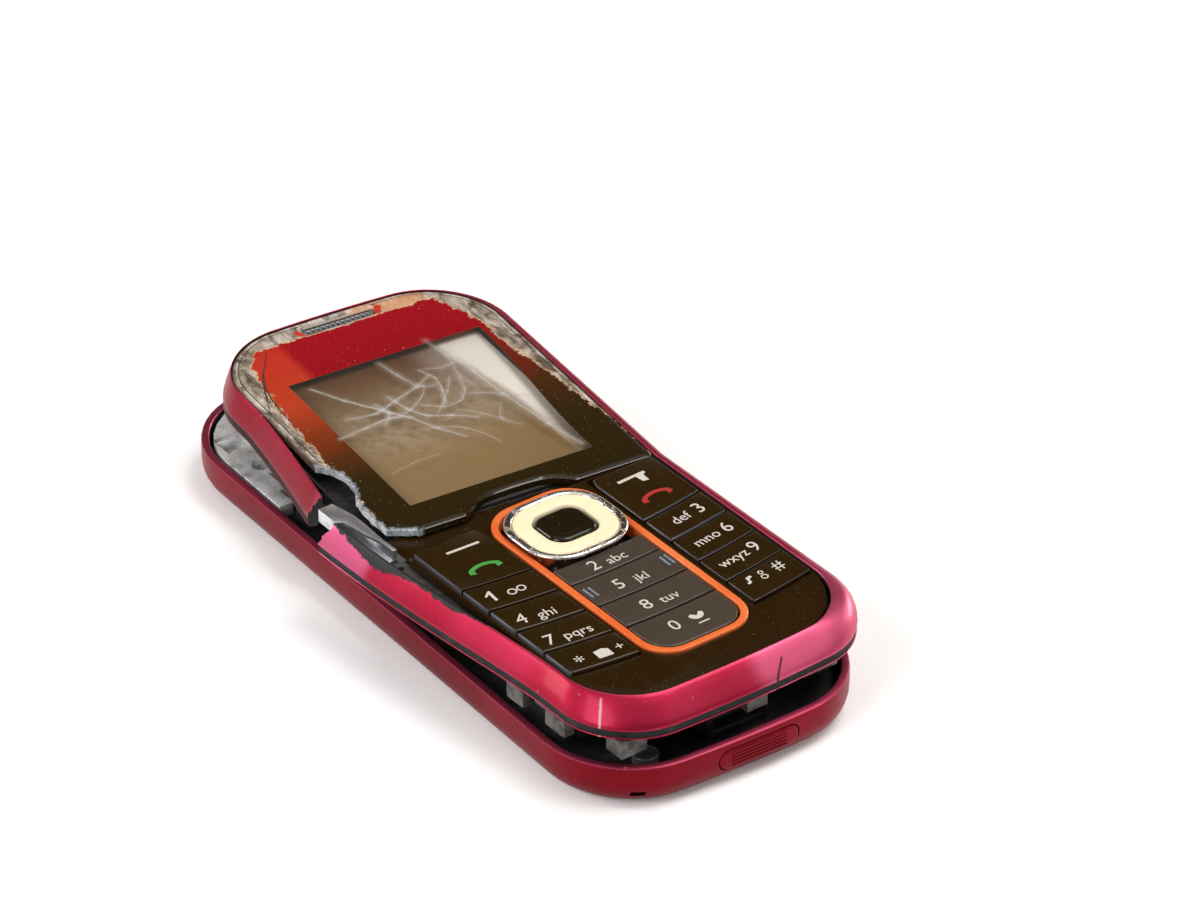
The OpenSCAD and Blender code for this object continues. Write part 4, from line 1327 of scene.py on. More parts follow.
# Each streak: points in the display half's plan, width of its haze, strength of its haze, thread radius.
STREAKS: tuple[tuple[tuple[Point2, ...], float, float, float], ...] = (
    (((-12.1, 38.6), (-9.4, 33.6), (-6.0, 28.6), (-3.6, 25.0), (-1.6, 20.8), (0.8, 17.0)), 0.34, 0.62, 0.05),
    (((-14.6, 25.3), (-10.0, 26.0), (-6.2, 26.4), (-3.4, 25.6)), 0.36, 0.60, 0.05),
    (((-11.6, 29.2), (-7.2, 28.4), (-3.2, 30.0), (1.0, 31.6), (3.8, 33.2)), 0.40, 0.50, 0.05),
    (((-7.6, 25.0), (-5.6, 27.6), (-6.2, 30.4)), 0.5, 0.45, 0.04),
    (((-3.8, 31.4), (-2.9, 27.4), (-1.3, 24.4), (1.6, 22.8), (4.6, 20.6)), 0.42, 0.52, 0.05),
    (((-0.6, 39.6), (0.2, 35.6), (1.2, 31.8), (3.4, 30.6)), 0.6, 0.36, 0.04),
    (((0.4, 24.4), (2.4, 26.2), (3.8, 29.2), (4.4, 32.4), (3.4, 35.2)), 0.36, 0.52, 0.04),
    (((-0.8, 27.4), (1.8, 25.2), (4.6, 25.4), (6.6, 27.8), (7.4, 30.6)), 0.34, 0.45, 0.04),
    (((4.4, 35.0), (6.4, 34.2), (9.6, 34.6)), 0.34, 0.36, 0.03),
    (((3.2, 23.6), (5.6, 21.0), (7.6, 18.2)), 0.32, 0.38, 0.03),
    (((5.2, 27.2), (8.6, 25.4), (11.6, 23.0), (13.6, 21.6)), 0.38, 0.30, 0.03),
    (((9.4, 38.8), (9.9, 31.0), (10.6, 24.0), (12.2, 14.0), (13.6, 7.4)), 0.55, 0.55, 0.05),
    (((9.2, 22.2), (7.2, 18.6), (8.8, 15.8)), 0.3, 0.28, 0.03),
    (((-12.6, 14.2), (-8.6, 15.0), (-4.4, 15.2)), 0.3, 0.25, 0.02),
    (((-2.6, 21.6), (1.2, 19.6), (3.4, 16.2), (4.2, 13.4)), 0.26, 0.30, 0.03),
    (((6.2, 31.6), (4.2, 28.4), (2.6, 26.6)), 0.3, 0.4, 0.04),
    (((-5.4, 26.2), (-2.6, 26.9), (0.6, 29.2), (2.0, 31.4)), 0.3, 0.42, 0.04),
    (((8.0, 41.6), (8.6, 36.0), (7.6, 31.2), (8.4, 27.4)), 0.5, 0.30, 0.03),
)
DARK_CRACKS: tuple[tuple[Point2, ...], ...] = (
    ((-12.6, 50.4), (-14.8, 47.0), (-17.0, 43.4), (-18.9, 38.4), (-20.3, 35.0)),
    ((-16.1, 44.9), (-17.6, 41.0), (-18.2, 36.4), (-18.6, 30.2)),
)


@dataclass
class DisplayHalf:
    """The lens with its print, cracks and broken edge, and the dead display under it."""

    palette: Palette
    lens_hw: float = 20.75
    lens_y0: float = 0.25
    top_r: float = 11.3
    slot: tuple[float, float] = (5.7, 0.75)
    grid: float = 0.45

    def outline(self) -> list[Point2]:
        """The lens's edge: clear round the top, notched over the navigation key, broken on the left.

        Returns:
            Its points.
        """
        hw, y0, y1 = self.lens_hw, self.lens_y0, FRONT_TOP - 1.0 - END_BULGE
        r = self.top_r
        rng = random.Random(5)
        top = bulged(between((hw, 0.8), (hw, y1 - r), 90) + arc(hw - r, y1 - r, r, 0, 90, 20)
                     + between((hw - r, y1), (r - hw, y1), 30) + arc(r - hw, y1 - r, r, 90, 180, 20)
                     + between((-hw, y1 - r), (-hw, 21.2), 46), LEVELS.half_w, END_BULGE)
        chips = [(-hw, 21.2), (-hw + 1.2, 19.8), (-hw + 1.75, 18.7), (-hw + 2.3, 16.4), (-hw + 1.95, 13.6),
                 (-hw + 0.75, 11.2), (-hw + 0.5, 9.0), (-hw + 0.4, 6.1), (-hw + 0.75, 2.6), (-hw + 2.0, 1.9),
                 (-hw + 3.3, 1.0), (-hw + 4.3, 0.7)]
        ragged = []
        for a, b in zip(chips, chips[1:]):
            ragged.append(a)
            ragged += [(x + rng.uniform(0.02, 0.16), y + rng.uniform(-0.06, 0.06))
                       for x, y in between(a, b, 5)]
        ragged.append(chips[-1])
        notch = [(-8.7, y0), (-6.8, 1.7), (-6.0, 2.25), (-4.2, 2.85), (-2.2, 3.0), (0.0, 3.05), (2.2, 3.0),
                 (4.2, 2.85), (6.0, 2.25), (6.8, 1.7), (8.7, y0)]
        bottom = ([(-hw + 4.5, y0)] + between((-hw + 4.5, y0), (-8.7, y0), 16) + notch
                  + between((8.7, y0), (hw - 0.5, y0), 24) + arc(hw - 0.6, y0 + 0.6, 0.6, -90, 0, 5))
        return top + ragged + bottom

    def lens(self) -> bpy.types.Object:
        """Builds the lens as a fine top skin, a wall and a plain back.

        Returns:
            The lens.
        """
        loop = self.outline()
        rim = len(loop)
        ear_y = FRONT_TOP - 3.4
        slot = round_rect(self.slot[0], ear_y - self.slot[1], ear_y + self.slot[1], 0.5, 0.5, 4, 2, 16)
        points = [Vector(p) for p in loop + slot]
        n = len(points)
        after = [(i + 1) % rim if i < rim else rim + (i + 1 - rim) % len(slot) for i in range(n)]
        ys = [p.y for p in points]
        steps_x, steps_y = int(2 * self.lens_hw / self.grid), int((max(ys) - min(ys)) / self.grid)
        inner = []
        for j in range(steps_y + 1):
            for i in range(steps_x + 1):
                inner.append(Vector((-self.lens_hw + (i + 0.5 * (j % 2)) * self.grid,
                                     min(ys) + j * self.grid)))
        walls = [(points[i], points[after[i]]) for i in range(n)]
        keep = [p for p in inner if self._edge_distance(p, walls) > 0.16
                and self._inside(p, points[:rim]) and not self._inside(p, points[rim:])]
        made = delaunay_2d_cdt(points + keep, list(enumerate(after)), [], 1, 1e-6)
        flat = made[0]
        hole = points[rim:]
        middles = [sum((flat[v] for v in f), Vector((0, 0))) / len(f) for f in made[2]]
        skin = [tuple(f) for f, middle in zip(made[2], middles) if not self._inside(middle, hole)]
        order = {i: k for k, origins in enumerate(made[3]) for i in origins if i < n}
        segments = []
        for line, width, strength, _radius in STREAKS:
            for a, b in zip(line, line[1:]):
                segments.append((Vector(a), Vector(b), width * 0.85, strength * 1.1))
        verts, haze, edge, broken = [], [], [], []
        round_w, snap_w = 1.5, 2.0
        torn = [(points[i], points[after[i]]) for i in range(rim) if self._is_torn(points[i])]
        for p in flat:
            d = min(round_w, self._edge_distance(p, walls))
            drop = 0.30 * (1.0 - math.sqrt(max(0.0, 1.0 - (1.0 - d / round_w) ** 2)))
            verts.append((*UPPER.apply((p.x, p.y)), LEVELS.lens_z1 - drop))
            haze.append(near_segments(p, segments))
            edge.append(1.0 - d / round_w)
            broken.append(max(0.0, 1.0 - self._edge_distance(p, torn) / snap_w))
        base = len(verts)
        verts += [(*UPPER.apply((p.x, p.y)), LEVELS.lens_z0) for p in flat]
        faces = skin + [tuple(base + v for v in f)[::-1] for f in skin]
        faces += [(order[i], order[after[i]], base + order[after[i]], base + order[i]) for i in range(n)]
        piece = mesh_object("lens_glass", verts, faces, 50)
        for name, data in (("haze", haze * 2), ("edge", edge * 2), ("broken", broken * 2)):
            piece.data.attributes.new(name, "FLOAT", "POINT").data.foreach_set("value", data)
        piece.data.materials.append(self.lens_material())
        piece.data.materials.append(self.back_material())
        for face in piece.data.polygons[len(skin):2 * len(skin)]:
            face.material_index = 1
        return piece

    def back_material(self) -> bpy.types.Material:
        """The lens's back: black round the display's glass, clear over it.

        Returns:
            The material.
        """
        g = Graph("lens_back")
        vector, x, y, _z = g.place(UPPER)
        margin = 2.2
        clear = (g.smooth(WINDOW_HW + margin - abs(x), -0.04, 0.04)
                 & g.smooth(WINDOW_HL + margin - abs(y - WINDOW_Y), -0.04, 0.04))
        color = g.mix(g.noise(vector, 0.8, 3.0), (0.010, 0.008, 0.006), (0.03, 0.024, 0.02))
        return g.surface(Base_Color=color, Roughness=0.5, Alpha=1.0 - clear)

    def _is_torn(self, p: Vector) -> bool:
        """Tells whether an outline point lies on the broken left edge."""
        return p.x < -self.lens_hw + 4.6 and p.y < 21.3

    @staticmethod
    def _edge_distance(p: Vector, edges: Sequence[tuple[Vector, Vector]]) -> float:
        """Distance from a point to the nearest edge, exact within 2 mm.

        Args:
            p: the point.
            edges: the edges.

        Returns:
            The distance in millimetres.
        """
        best = 4.0
        for a, b in edges:
            if abs(a.x - p.x) > 2.2 or abs(a.y - p.y) > 2.2:
                continue
            ab = b - a
            t = max(0.0, min(1.0, (p - a).dot(ab) / max(1e-12, ab.length_squared)))
            best = min(best, (p - a - ab * t).length_squared)
        return math.sqrt(best)

    @staticmethod
    def _inside(p: Vector, loop: Sequence[Vector]) -> bool:
        """Tells whether a point lies inside a loop.

        Args:
            p: the point.
            loop: the loop.

        Returns:
            True if inside.
        """
        inside = False
        for a, b in zip(loop, list(loop[1:]) + [loop[0]]):
            if (a.y > p.y) != (b.y > p.y) and p.x < (b.x - a.x) * (p.y - a.y) / (b.y - a.y) + a.x:
                inside = not inside
        return inside

    def lens_material(self) -> bpy.types.Material:
        """Clear plastic, printed round the window, the print flaked away at the edge.

        Returns:
            The material.
        """
        g = Graph("lens_print")
        vector, x, y, _z = g.place(UPPER)
        rag = (g.noise(vector, 0.55, 6.0, 0.72) - 0.5) * 3.2 + (g.noise(vector, 2.3, 3.0, 0.6) - 0.5) * 1.2
        left = g.profile(y, 0.0, 60.0, ((0.0, 19.9), (19.0, 19.6), (24.0, 18.9), (30.0, 18.7), (38.0, 18.1),
                                        (48.0, 16.2), (51.5, 13.5), (60.0, 12.0)))
        right = g.profile(y, 0.0, 60.0, ((0.0, 20.75), (10.0, 20.6), (18.0, 19.7), (28.0, 18.5), (34.0, 17.6),
                                         (44.0, 16.9), (49.5, 14.8), (60.0, 12.0)))
        in_left = g.smooth(x + left + rag, -0.08, 0.08)
        in_right = g.smooth(right - x + rag, -0.08, 0.08)
        in_top = g.smooth(50.9 - y + rag * 0.7, -0.08, 0.08)
        printed = in_left & in_right & in_top
        # The clear window, wider at its upper right
        spread = g.smooth(y, 8.0, 40.0) * g.smooth(x, 0.0, 1.0) * 2.0
        window = (g.smooth(WINDOW_HW - abs(x) + spread, -0.04, 0.04)
                  & g.smooth(WINDOW_HL - abs(y - WINDOW_Y), -0.04, 0.04))
        # Print runs from crimson at the top through orange and brown to olive black
        side = g.smooth(x, 6.0, -12.0)
        height = y + (g.noise(vector, 0.12, 2.0) - 0.5) * 5.0 + side * 2.0
        place = height * (1.0 / PRINT_L)
        cool = g.ramp(place, ((0.0, (0.020, 0.0125, 0.003)), (0.30, (0.028, 0.016, 0.004)),
                              (0.45, (0.060, 0.020, 0.006)), (0.58, (0.150, 0.014, 0.008)),
                              (0.72, (0.260, 0.006, 0.010)), (1.0, (0.330, 0.006, 0.014))))
        warm = g.ramp(place, ((0.0, (0.020, 0.0125, 0.003)), (0.30, (0.028, 0.016, 0.004)),
                              (0.42, (0.085, 0.026, 0.007)), (0.54, (0.240, 0.035, 0.010)),
                              (0.68, (0.430, 0.045, 0.016)), (0.90, (0.470, 0.030, 0.016)),
                              (1.0, (0.36, 0.010, 0.015))))
        color = g.mix(side & g.smooth(x, -9.5, -11.5), cool, warm)
        # Bare plastic over the dusty frame, with a painted shade line and a painted glint along the rounded
        # rim
        edge, broken = g.attribute("edge"), g.attribute("broken")
        streaks = g.noise(g.stretch(vector, (0.7, 0.30, 1.0), 0.3), 0.9, 5.0, 0.65, 0.6)
        bare = g.ramp(streaks, ((0.30, (0.034, 0.026, 0.018)), (0.43, (0.15, 0.115, 0.085)),
                                (0.55, (0.34, 0.285, 0.23)), (0.71, (0.58, 0.53, 0.46))))
        peach = g.smooth(g.segment(x, y, (4.0, 53.0), (11.5, 51.5)) + rag, 3.4, 0.6)
        bare = g.mix(peach * 0.75, bare, (0.70, 0.36, 0.19))
        line = g.smooth(abs(edge - 0.42 + (streaks - 0.5) * 0.1), 0.10, 0.02)
        bare = g.mix(line * 0.75, bare, (0.035, 0.022, 0.016))
        gleam = g.smooth(abs(edge - 0.62 + (streaks - 0.5) * 0.12), 0.09, 0.01)
        gleam = gleam * g.smooth(streaks, 0.40, 0.62)
        bare = g.mix(gleam * 0.8, bare, (0.72, 0.68, 0.63))
        ends = (g.smooth(g.segment(x, y, (-6.6, 52.3), (-5.9, 51.4)) + rag * 0.3, 0.75, 0.45)
                | g.smooth(g.segment(x, y, (6.5, 52.8), (5.8, 51.6)) + rag * 0.3, 0.70, 0.40))
        bare = g.mix(ends, bare, (0.50, 0.035, 0.022))
        rim = g.smooth(edge, 0.80, 0.95)
        bare = g.mix(rim * 0.75, bare, (0.10, 0.060, 0.040))
        color = g.mix(printed | window, bare, color)
        # A pale lip where the print has curled back
        band = (g.smooth(x + left + rag, -0.42, -0.1) & g.smooth(right - x + rag, -0.42, -0.1)
                & g.smooth(50.9 - y + rag * 0.7, -0.42, -0.1))
        lip = band * (1.0 - printed) * g.smooth(g.noise(vector, 1.4, 3.0), 0.36, 0.5)
        color = g.mix(lip * 0.85, color, (0.64, 0.40, 0.20))
        # The snapped edge, milky blue-grey
        wild = (g.noise(vector, 0.7, 5.0, 0.75) - 0.5) * 1.1
        snap = g.smooth(broken + wild, 0.74, 0.88)
        color = g.mix(snap * 0.75, color, (0.25, 0.275, 0.31))
        color = g.mix(g.smooth(broken + wild * 0.5, 0.93, 1.02) * 0.8, color, (0.60, 0.64, 0.68))
        haze = g.attribute("haze")
        fibre = g.smooth(g.noise(vector, 2.4, 6.0, 0.8, 1.6), 0.34, 0.62)
        web = haze * (0.35 + fibre * 0.65)
        dust = g.smooth(g.noise(vector, 2.4, 4.0, 0.62), 0.665, 0.72)
        scratch = g.smooth(g.noise(g.stretch(vector, (3.0, 0.16, 1.0), -0.35), 1.0, 3.0, 0.5), 0.70, 0.75)
        color = g.mix(window, color, (0.42, 0.36, 0.28))
        color = g.mix((web * 0.8 | dust * 0.36) & 1.0, color, (0.56, 0.57, 0.58))
        veil = 0.06 + web * 0.88 + dust * 0.55 + scratch * 0.28
        alpha = g.math(Op.MAXIMUM, 1.0 - window, veil & 1.0)
        rough = 0.10 + g.smooth(streaks, 0.4, 0.8) * 0.12 + web * 0.35 + dust * 0.3
        rough = rough + (1.0 - printed) * (1.0 - window) * 0.12
        normal = g.bump(streaks * 0.4 + printed * 0.6 + web * 0.8 + snap * 0.8, 0.025)
        return g.surface(Base_Color=color, Roughness=rough, Alpha=alpha, Normal=normal,
                         Specular_IOR_Level=0.5)

    def panel_material(self) -> bpy.types.Material:
        """The dead display: tan, darker at the top, with a painted white glare along the right.

        Returns:
            The material.
        """
        g = Graph("dead_display")
        vector, x, y, _z = g.place(UPPER)
        soft = (g.noise(vector, 0.16, 3.0) - 0.5) * 6.0
        place = (y + soft - 5.0) * (1.0 / 38.0)
        color = g.ramp(place, ((0.0, (0.195, 0.115, 0.038)), (0.35, (0.225, 0.140, 0.055)),
                               (0.62, (0.195, 0.120, 0.052)), (0.80, (0.135, 0.072, 0.032)),
                               (0.93, (0.110, 0.050, 0.022)), (1.0, (0.090, 0.036, 0.018))))
        # A painted white glare along the right edge, and a softer painted glow beside it
        line = g.profile(y, 0.0, 60.0, ((0.0, 14.2), (8.0, 14.0), (14.0, 13.6), (22.0, 13.0), (27.0, 12.3),
                                        (33.0, 11.2), (38.0, 9.8), (60.0, 8.6)))
        ragged = x - line + (g.noise(vector, 0.5, 3.0) - 0.5) * 0.7
        white = g.smooth(ragged, -0.9, 0.9) & g.smooth(y, 6.0, 28.0)
        color = g.mix(white * 0.97, color, (0.96, 0.90, 0.82))
        glow = g.smooth(x - line, -6.5, 0.0) * g.smooth(y, 18.0, 36.0)
        color = g.mix(glow * 0.35, color, (0.60, 0.54, 0.48))
        cloud = (g.smooth(g.segment(x, y, (-6.0, 26.0), (8.0, 27.0)), 12.0, 2.0)
                 * g.smooth(g.noise(vector, 0.7, 6.0, 0.7), 0.3, 0.65))
        color = g.mix(cloud * 0.22, color, (0.62, 0.55, 0.46))
        rough = 0.32 + (g.noise(vector, 1.2, 4.0) - 0.5) * 0.2
        return g.surface(Base_Color=color, Roughness=rough, Normal=g.bump(g.noise(vector, 0.4, 3.0), 0.05))

    def threads(self, name: str, lines: Sequence[tuple[Sequence[Point2], float]],
                material: bpy.types.Material, z: float) -> bpy.types.Object:
        """Crack lines as fine threads that a node tree sweeps along curves.

        Args:
            name: the piece's name.
            lines: each line's points and thread radius, in millimetres.
            material: the threads' material.
            z: height of the threads' middle.

        Returns:
            The piece.
        """
        curve = bpy.data.curves.new(name + "_lines", "CURVE")
        curve.dimensions = "3D"
        rng = random.Random(len(lines))
        for line, radius in lines:
            dense = self._jittered(line, rng)
            spline = curve.splines.new("POLY")
            spline.points.add(len(dense) - 1)
            for i, (point, p) in enumerate(zip(spline.points, dense)):
                taper = math.sin(math.pi * (0.06 + 0.90 * i / (len(dense) - 1)))
                point.co = (*[c * MM for c in UPPER.apply(p)], z * MM, 1.0)
                point.radius = radius * (0.25 + 0.75 * taper)
        host = bpy.data.objects.new(name + "_host", curve)
        bpy.context.scene.collection.objects.link(host)
        tree = GeoTree(name + "_tree", {"Sides": 5, "Unit": MM})
        profile = tree.node("GeometryNodeCurvePrimitiveCircle", {"mode": "RADIUS"}, {
            "Resolution": tree.entry("Sides"), "Radius": tree.entry("Unit")})
        sweep = tree.node("GeometryNodeCurveToMesh", None, {
            "Curve": tree.entry("Geometry"), "Profile Curve": profile.outputs[0], "Fill Caps": True})
        size = tree.node("GeometryNodeInputRadius")
        if "Scale" in sweep.inputs:
            tree.link(size.outputs[0], sweep.inputs["Scale"])
        return tree.finish(sweep.outputs[0], name, material, host)

    @staticmethod
    def _jittered(line: Sequence[Point2], rng: random.Random) -> list[Point2]:
        """A line through the given points with the small kinks of a crack.

        Args:
            line: the points.
            rng: the source of the kinks.

        Returns:
            The denser line.
        """
        dense: list[Point2] = []
        for i in range(len(line) - 1):
            p0, p1, p2, p3 = (line[max(0, i - 1)], line[i], line[i + 1], line[min(len(line) - 1, i + 2)])
            steps = max(4, int(math.dist(p1, p2) / 0.5))
            for k in range(steps):
                t = k / steps
                point = []
                for a, b, c, d in zip(p0, p1, p2, p3):
                    point.append(0.5 * (2 * b + (c - a) * t + (2 * a - 5 * b + 4 * c - d) * t * t
                                        + (3 * b - a - 3 * c + d) * t ** 3) + rng.uniform(-0.07, 0.07))
                dense.append((point[0], point[1]))
        dense.append(line[-1])
        return dense

    def grille(self) -> bpy.types.Object:
        """The earpiece grille from its CAD node."""
        return bevelled("earpiece_grille", "earpiece_mesh", 0.04, 2)

    def build(self) -> None:
        """Builds and enlists the display half."""
        enlist(self.lens(), None, "display_lens")
        enlist(bevelled("display_panel", "display_glass", 0.1, 2), self.panel_material(), "display_panel")
        white = Moulding("crack_white", (0.56, 0.57, 0.58), (0.2, 0.2, 0.2), 0.5, roughness=0.5).make()
        dark = Moulding("crack_dark", (0.02, 0.012, 0.01), roughness=0.5).make()
        pale = [(line, radius * 0.8) for line, _w, _s, radius in STREAKS]
        enlist(self.threads("lens_cracks", pale, white, LEVELS.lens_z1 - 0.02), None, body="root",
               slot="lens_clear")
        splits = [(line, 0.13) for line in DARK_CRACKS]
        enlist(self.threads("lens_splits", splits, dark, LEVELS.lens_z1 - 0.03), None, body="root",
               slot="lens_clear")
        enlist(self.grille(), self.palette.bright, "earpiece_grille")


# ---------------------------------------------------------------- keypad half

@dataclass(frozen=True)
class Legend:
    """One printed legend on a key."""

    key: str
    text: str
    x: float
    y: float
    size: float


LEGENDS: tuple[Legend, ...] = (
    Legend("key_4", "4", -17.8, -21.3, 3.3),
    Legend("key_4", "ghi", -14.2, -22.1, 2.5), Legend("key_7", "7", -17.7, -27.5, 3.3),
    Legend("key_7", "pqrs", -13.6, -28.2, 2.5), Legend("key_star", "*", -17.4, -34.0, 3.4),
    Legend("key_star", "+", -11.2, -34.2, 2.4), Legend("key_2", "2", -2.2, -16.75, 3.2),
    Legend("key_2", "abc", 1.35, -17.0, 2.4), Legend("key_5", "5", -2.2, -22.3, 3.2),
    Legend("key_5", "jkl", 1.3, -22.65, 2.4), Legend("key_8", "8", -2.2, -28.3, 3.2),
    Legend("key_8", "tuv", 1.35, -28.7, 2.4), Legend("key_0", "0", -2.2, -34.5, 3.2),
    Legend("key_3", "def", 13.9, -15.0, 2.5), Legend("key_3", "3", 17.4, -14.45, 3.3),
    Legend("key_6", "mno", 13.7, -21.0, 2.5), Legend("key_6", "6", 17.5, -20.45, 3.3),
    Legend("key_9", "wxyz", 13.6, -27.0, 2.5), Legend("key_9", "9", 17.6, -26.4, 3.3),
    Legend("key_hash", "#", 17.3, -31.9, 3.0),
)


SIDE_KEYS = ("left_soft_key", "right_soft_key", "key_1", "key_4", "key_7", "key_star", "key_3", "key_6",
             "key_9", "key_hash")
CENTRE_KEYS = ("key_2", "key_5", "key_8", "key_0")


@dataclass
class KeypadHalf:
    """Face plate, trim ring, keys with their legends, navigation key and light guide."""

    palette: Palette
    nav_w: float = 16.0
    nav_l: float = 14.8
    nav_r: float = 5.8
    select_w: float = 7.6
    select_l: float = 7.0
    select_r: float = 2.2
    ink_t: float = 0.035

    def loop(self, w: float, length: float, r: float) -> list[Point2]:
        """A rounded rectangle round the navigation key's middle."""
        return round_rect(w / 2, NAV_Y - length / 2, NAV_Y + length / 2, r, r, 12, 8, 8)

    def nav_key(self) -> bpy.types.Object:
        """The ring: chrome rim, groove and crowned ivory face.

        Returns:
            The ring.
        """
        top = LEVELS.nav_top
        base = node_box("nav_key")[0].z
        gap = 0.3
        outer = self.loop(self.nav_w, self.nav_l, self.nav_r)
        hole = self.loop(self.select_w + 2 * gap, self.select_l + 2 * gap, self.select_r + gap)
        skirt = self.loop(self.nav_w - 1.7, self.nav_l - 1.7, self.nav_r - 0.85)
        under = LEVELS.key_top + 0.3
        # Share of the way from the rim to the hole, and height
        profile = ((0.0, under + 0.12), (0.0, top - 0.42), (0.03, top - 0.26), (0.09, top - 0.16),
                   (0.16, top - 0.15), (0.23, top - 0.2), (0.285, top - 0.32), (0.30, top - 0.42),
                   (0.315, top - 0.42), (0.33, top - 0.28), (0.38, top - 0.13), (0.48, top - 0.04),
                   (0.62, top), (0.78, top - 0.03), (0.90, top - 0.12), (0.97, top - 0.26),
                   (1.0, top - 0.5))
        rings = [self._ring(skirt, skirt, 0.0, base), self._ring(skirt, skirt, 0.0, under),
                 self._ring(outer, hole, 0.04, under)]
        rings += [self._ring(outer, hole, t, z) for t, z in profile]
        rings.append(self._ring(outer, hole, 1.0, base))
        verts, faces = loft(rings, closed=True)
        piece = mesh_object("nav_ring", verts, faces, 55)
        piece.data.materials.append(self.chrome())
        piece.data.materials.append(self.ivory())
        n = len(outer)
        for index, face in enumerate(piece.data.polygons):
            face.material_index = int(11 <= index // n <= 19)
        return piece

    @staticmethod
    def _ring(a: Sequence[Point2], b: Sequence[Point2], t: float,
              z: float) -> list[tuple[float, float, float]]:
        """A ring between two loops at a height, placed on the phone."""
        return [(*LOWER.apply((p[0] + (q[0] - p[0]) * t, p[1] + (q[1] - p[1]) * t)), z) for p, q in zip(a, b)]

    def chrome(self) -> bpy.types.Material:
        """Worn chrome plating on plastic.

        Returns:
            The material.
        """
        g = Graph("nav_chrome")
        vector, _x, _y, _z = g.place(LOWER)
        wear = g.smooth(g.noise(vector, 0.75, 6.0, 0.7), 0.56, 0.62)
        color = g.mix(wear, (0.83, 0.79, 0.74), (0.20, 0.15, 0.11))
        rough = 0.16 + wear * 0.35 + g.noise(vector, 2.0, 3.0) * 0.1
        return g.surface(Base_Color=color, Metallic=1.0 - wear * 0.9, Roughness=rough,
                         Normal=g.bump(wear * -1.0, 0.03))

    def ivory(self) -> bpy.types.Material:
        """Ivory plastic with a faint wear patch.

        Returns:
            The material.
        """
        g = Graph("nav_face")
        vector, x, y, _z = g.place(LOWER)
        dirt = g.smooth(g.noise(vector, 0.6, 5.0, 0.65), 0.5, 0.78) * 0.18
        color = g.mix(dirt, (0.93, 0.80, 0.53), (0.45, 0.33, 0.20))
        return g.surface(Base_Color=color, Roughness=0.36 + dirt,
                         Normal=g.bump(g.noise(vector, 2.4, 3.0), 0.01))

    def select_key(self) -> bpy.types.Object:
        """The black middle button, slightly dished.

        Returns:
            The button.
        """
        low, high = node_box("select_key")
        base = node_box("nav_key")[0].z + 0.35
        profile = ((0.0, base), (0.0, high.z - 0.55), (0.16, high.z - 0.22), (0.42, high.z - 0.05),
                   (0.75, high.z), (1.1, high.z - 0.03), (1.7, high.z - 0.14))
        rings = []
        for inset, z in profile:
            loop = self.loop(self.select_w - 2 * inset, self.select_l - 2 * inset,
                             max(0.4, self.select_r - inset * 0.7))
            rings.append([(*LOWER.apply(p), z) for p in loop])
        return mesh_object("select_button", *loft(rings), 50)

    def legend(self, item: Legend) -> bpy.types.Object:
        """One legend as a thin slab of ink, turned with its row.

        Args:
            item: what is printed, and where.

        Returns:
            The ink.
        """
        curve = bpy.data.curves.new("legend", "FONT")
        curve.body = item.text
        curve.size = item.size
        curve.align_x = "CENTER"
        curve.align_y = "CENTER"
        curve.extrude = self.ink_t / 2
        curve.resolution_u = 3
        host = bpy.data.objects.new("legend_host", curve)
        bpy.context.scene.collection.objects.link(host)
        slope = math.atan(2 * SMILE * item.x / KEY_OUT ** 2)
        top = node_box(item.key)[1].z
        name = "ink_" + item.key + "_" + {"*": "star", "+": "plus", "#": "hash"}.get(item.text, item.text)
        made = applied(host, name)
        made.data.transform(Matrix.Scale(MM, 4))
        made.data.transform(Matrix.Rotation(slope, 4, "Z"))
        made.data.transform(Matrix.Translation((item.x * MM, item.y * MM, (top + self.ink_t / 2) * MM)))
        made.data.transform(LOWER.matrix())
        return made

    def strip(self, name: str, loop: Sequence[Point2], top: float) -> bpy.types.Object:
        """A flat inked shape on a key.

        Args:
            name: the piece's name.
            loop: its outline on the keypad, in millimetres.
            top: the key's top.

        Returns:
            The piece.
        """
        rings = [[(*LOWER.apply(p), top + z) for p in loop] for z in (0.0, self.ink_t)]
        return mesh_object(name, *loft(rings), 30)

    def handset(self, cx: float, cy: float, turn: float) -> list[Point2]:
        """A handset lying on its back: a bow with two thick ends.

        Args:
            cx: middle across.
            cy: middle along.
            turn: angle in radians.

        Returns:
            Its outline.
        """
        loop = (arc(0, -3.1, 4.0, 52, 128, 14) + [(-2.62, -0.75), (-1.75, -1.02)]
                + arc(0, -3.1, 3.35, 120, 60, 12) + [(1.75, -1.02), (2.62, -0.75)])
        c, s = math.cos(turn), math.sin(turn)
        return [(cx + x * c - y * s, cy + x * s + y * c) for x, y in loop]

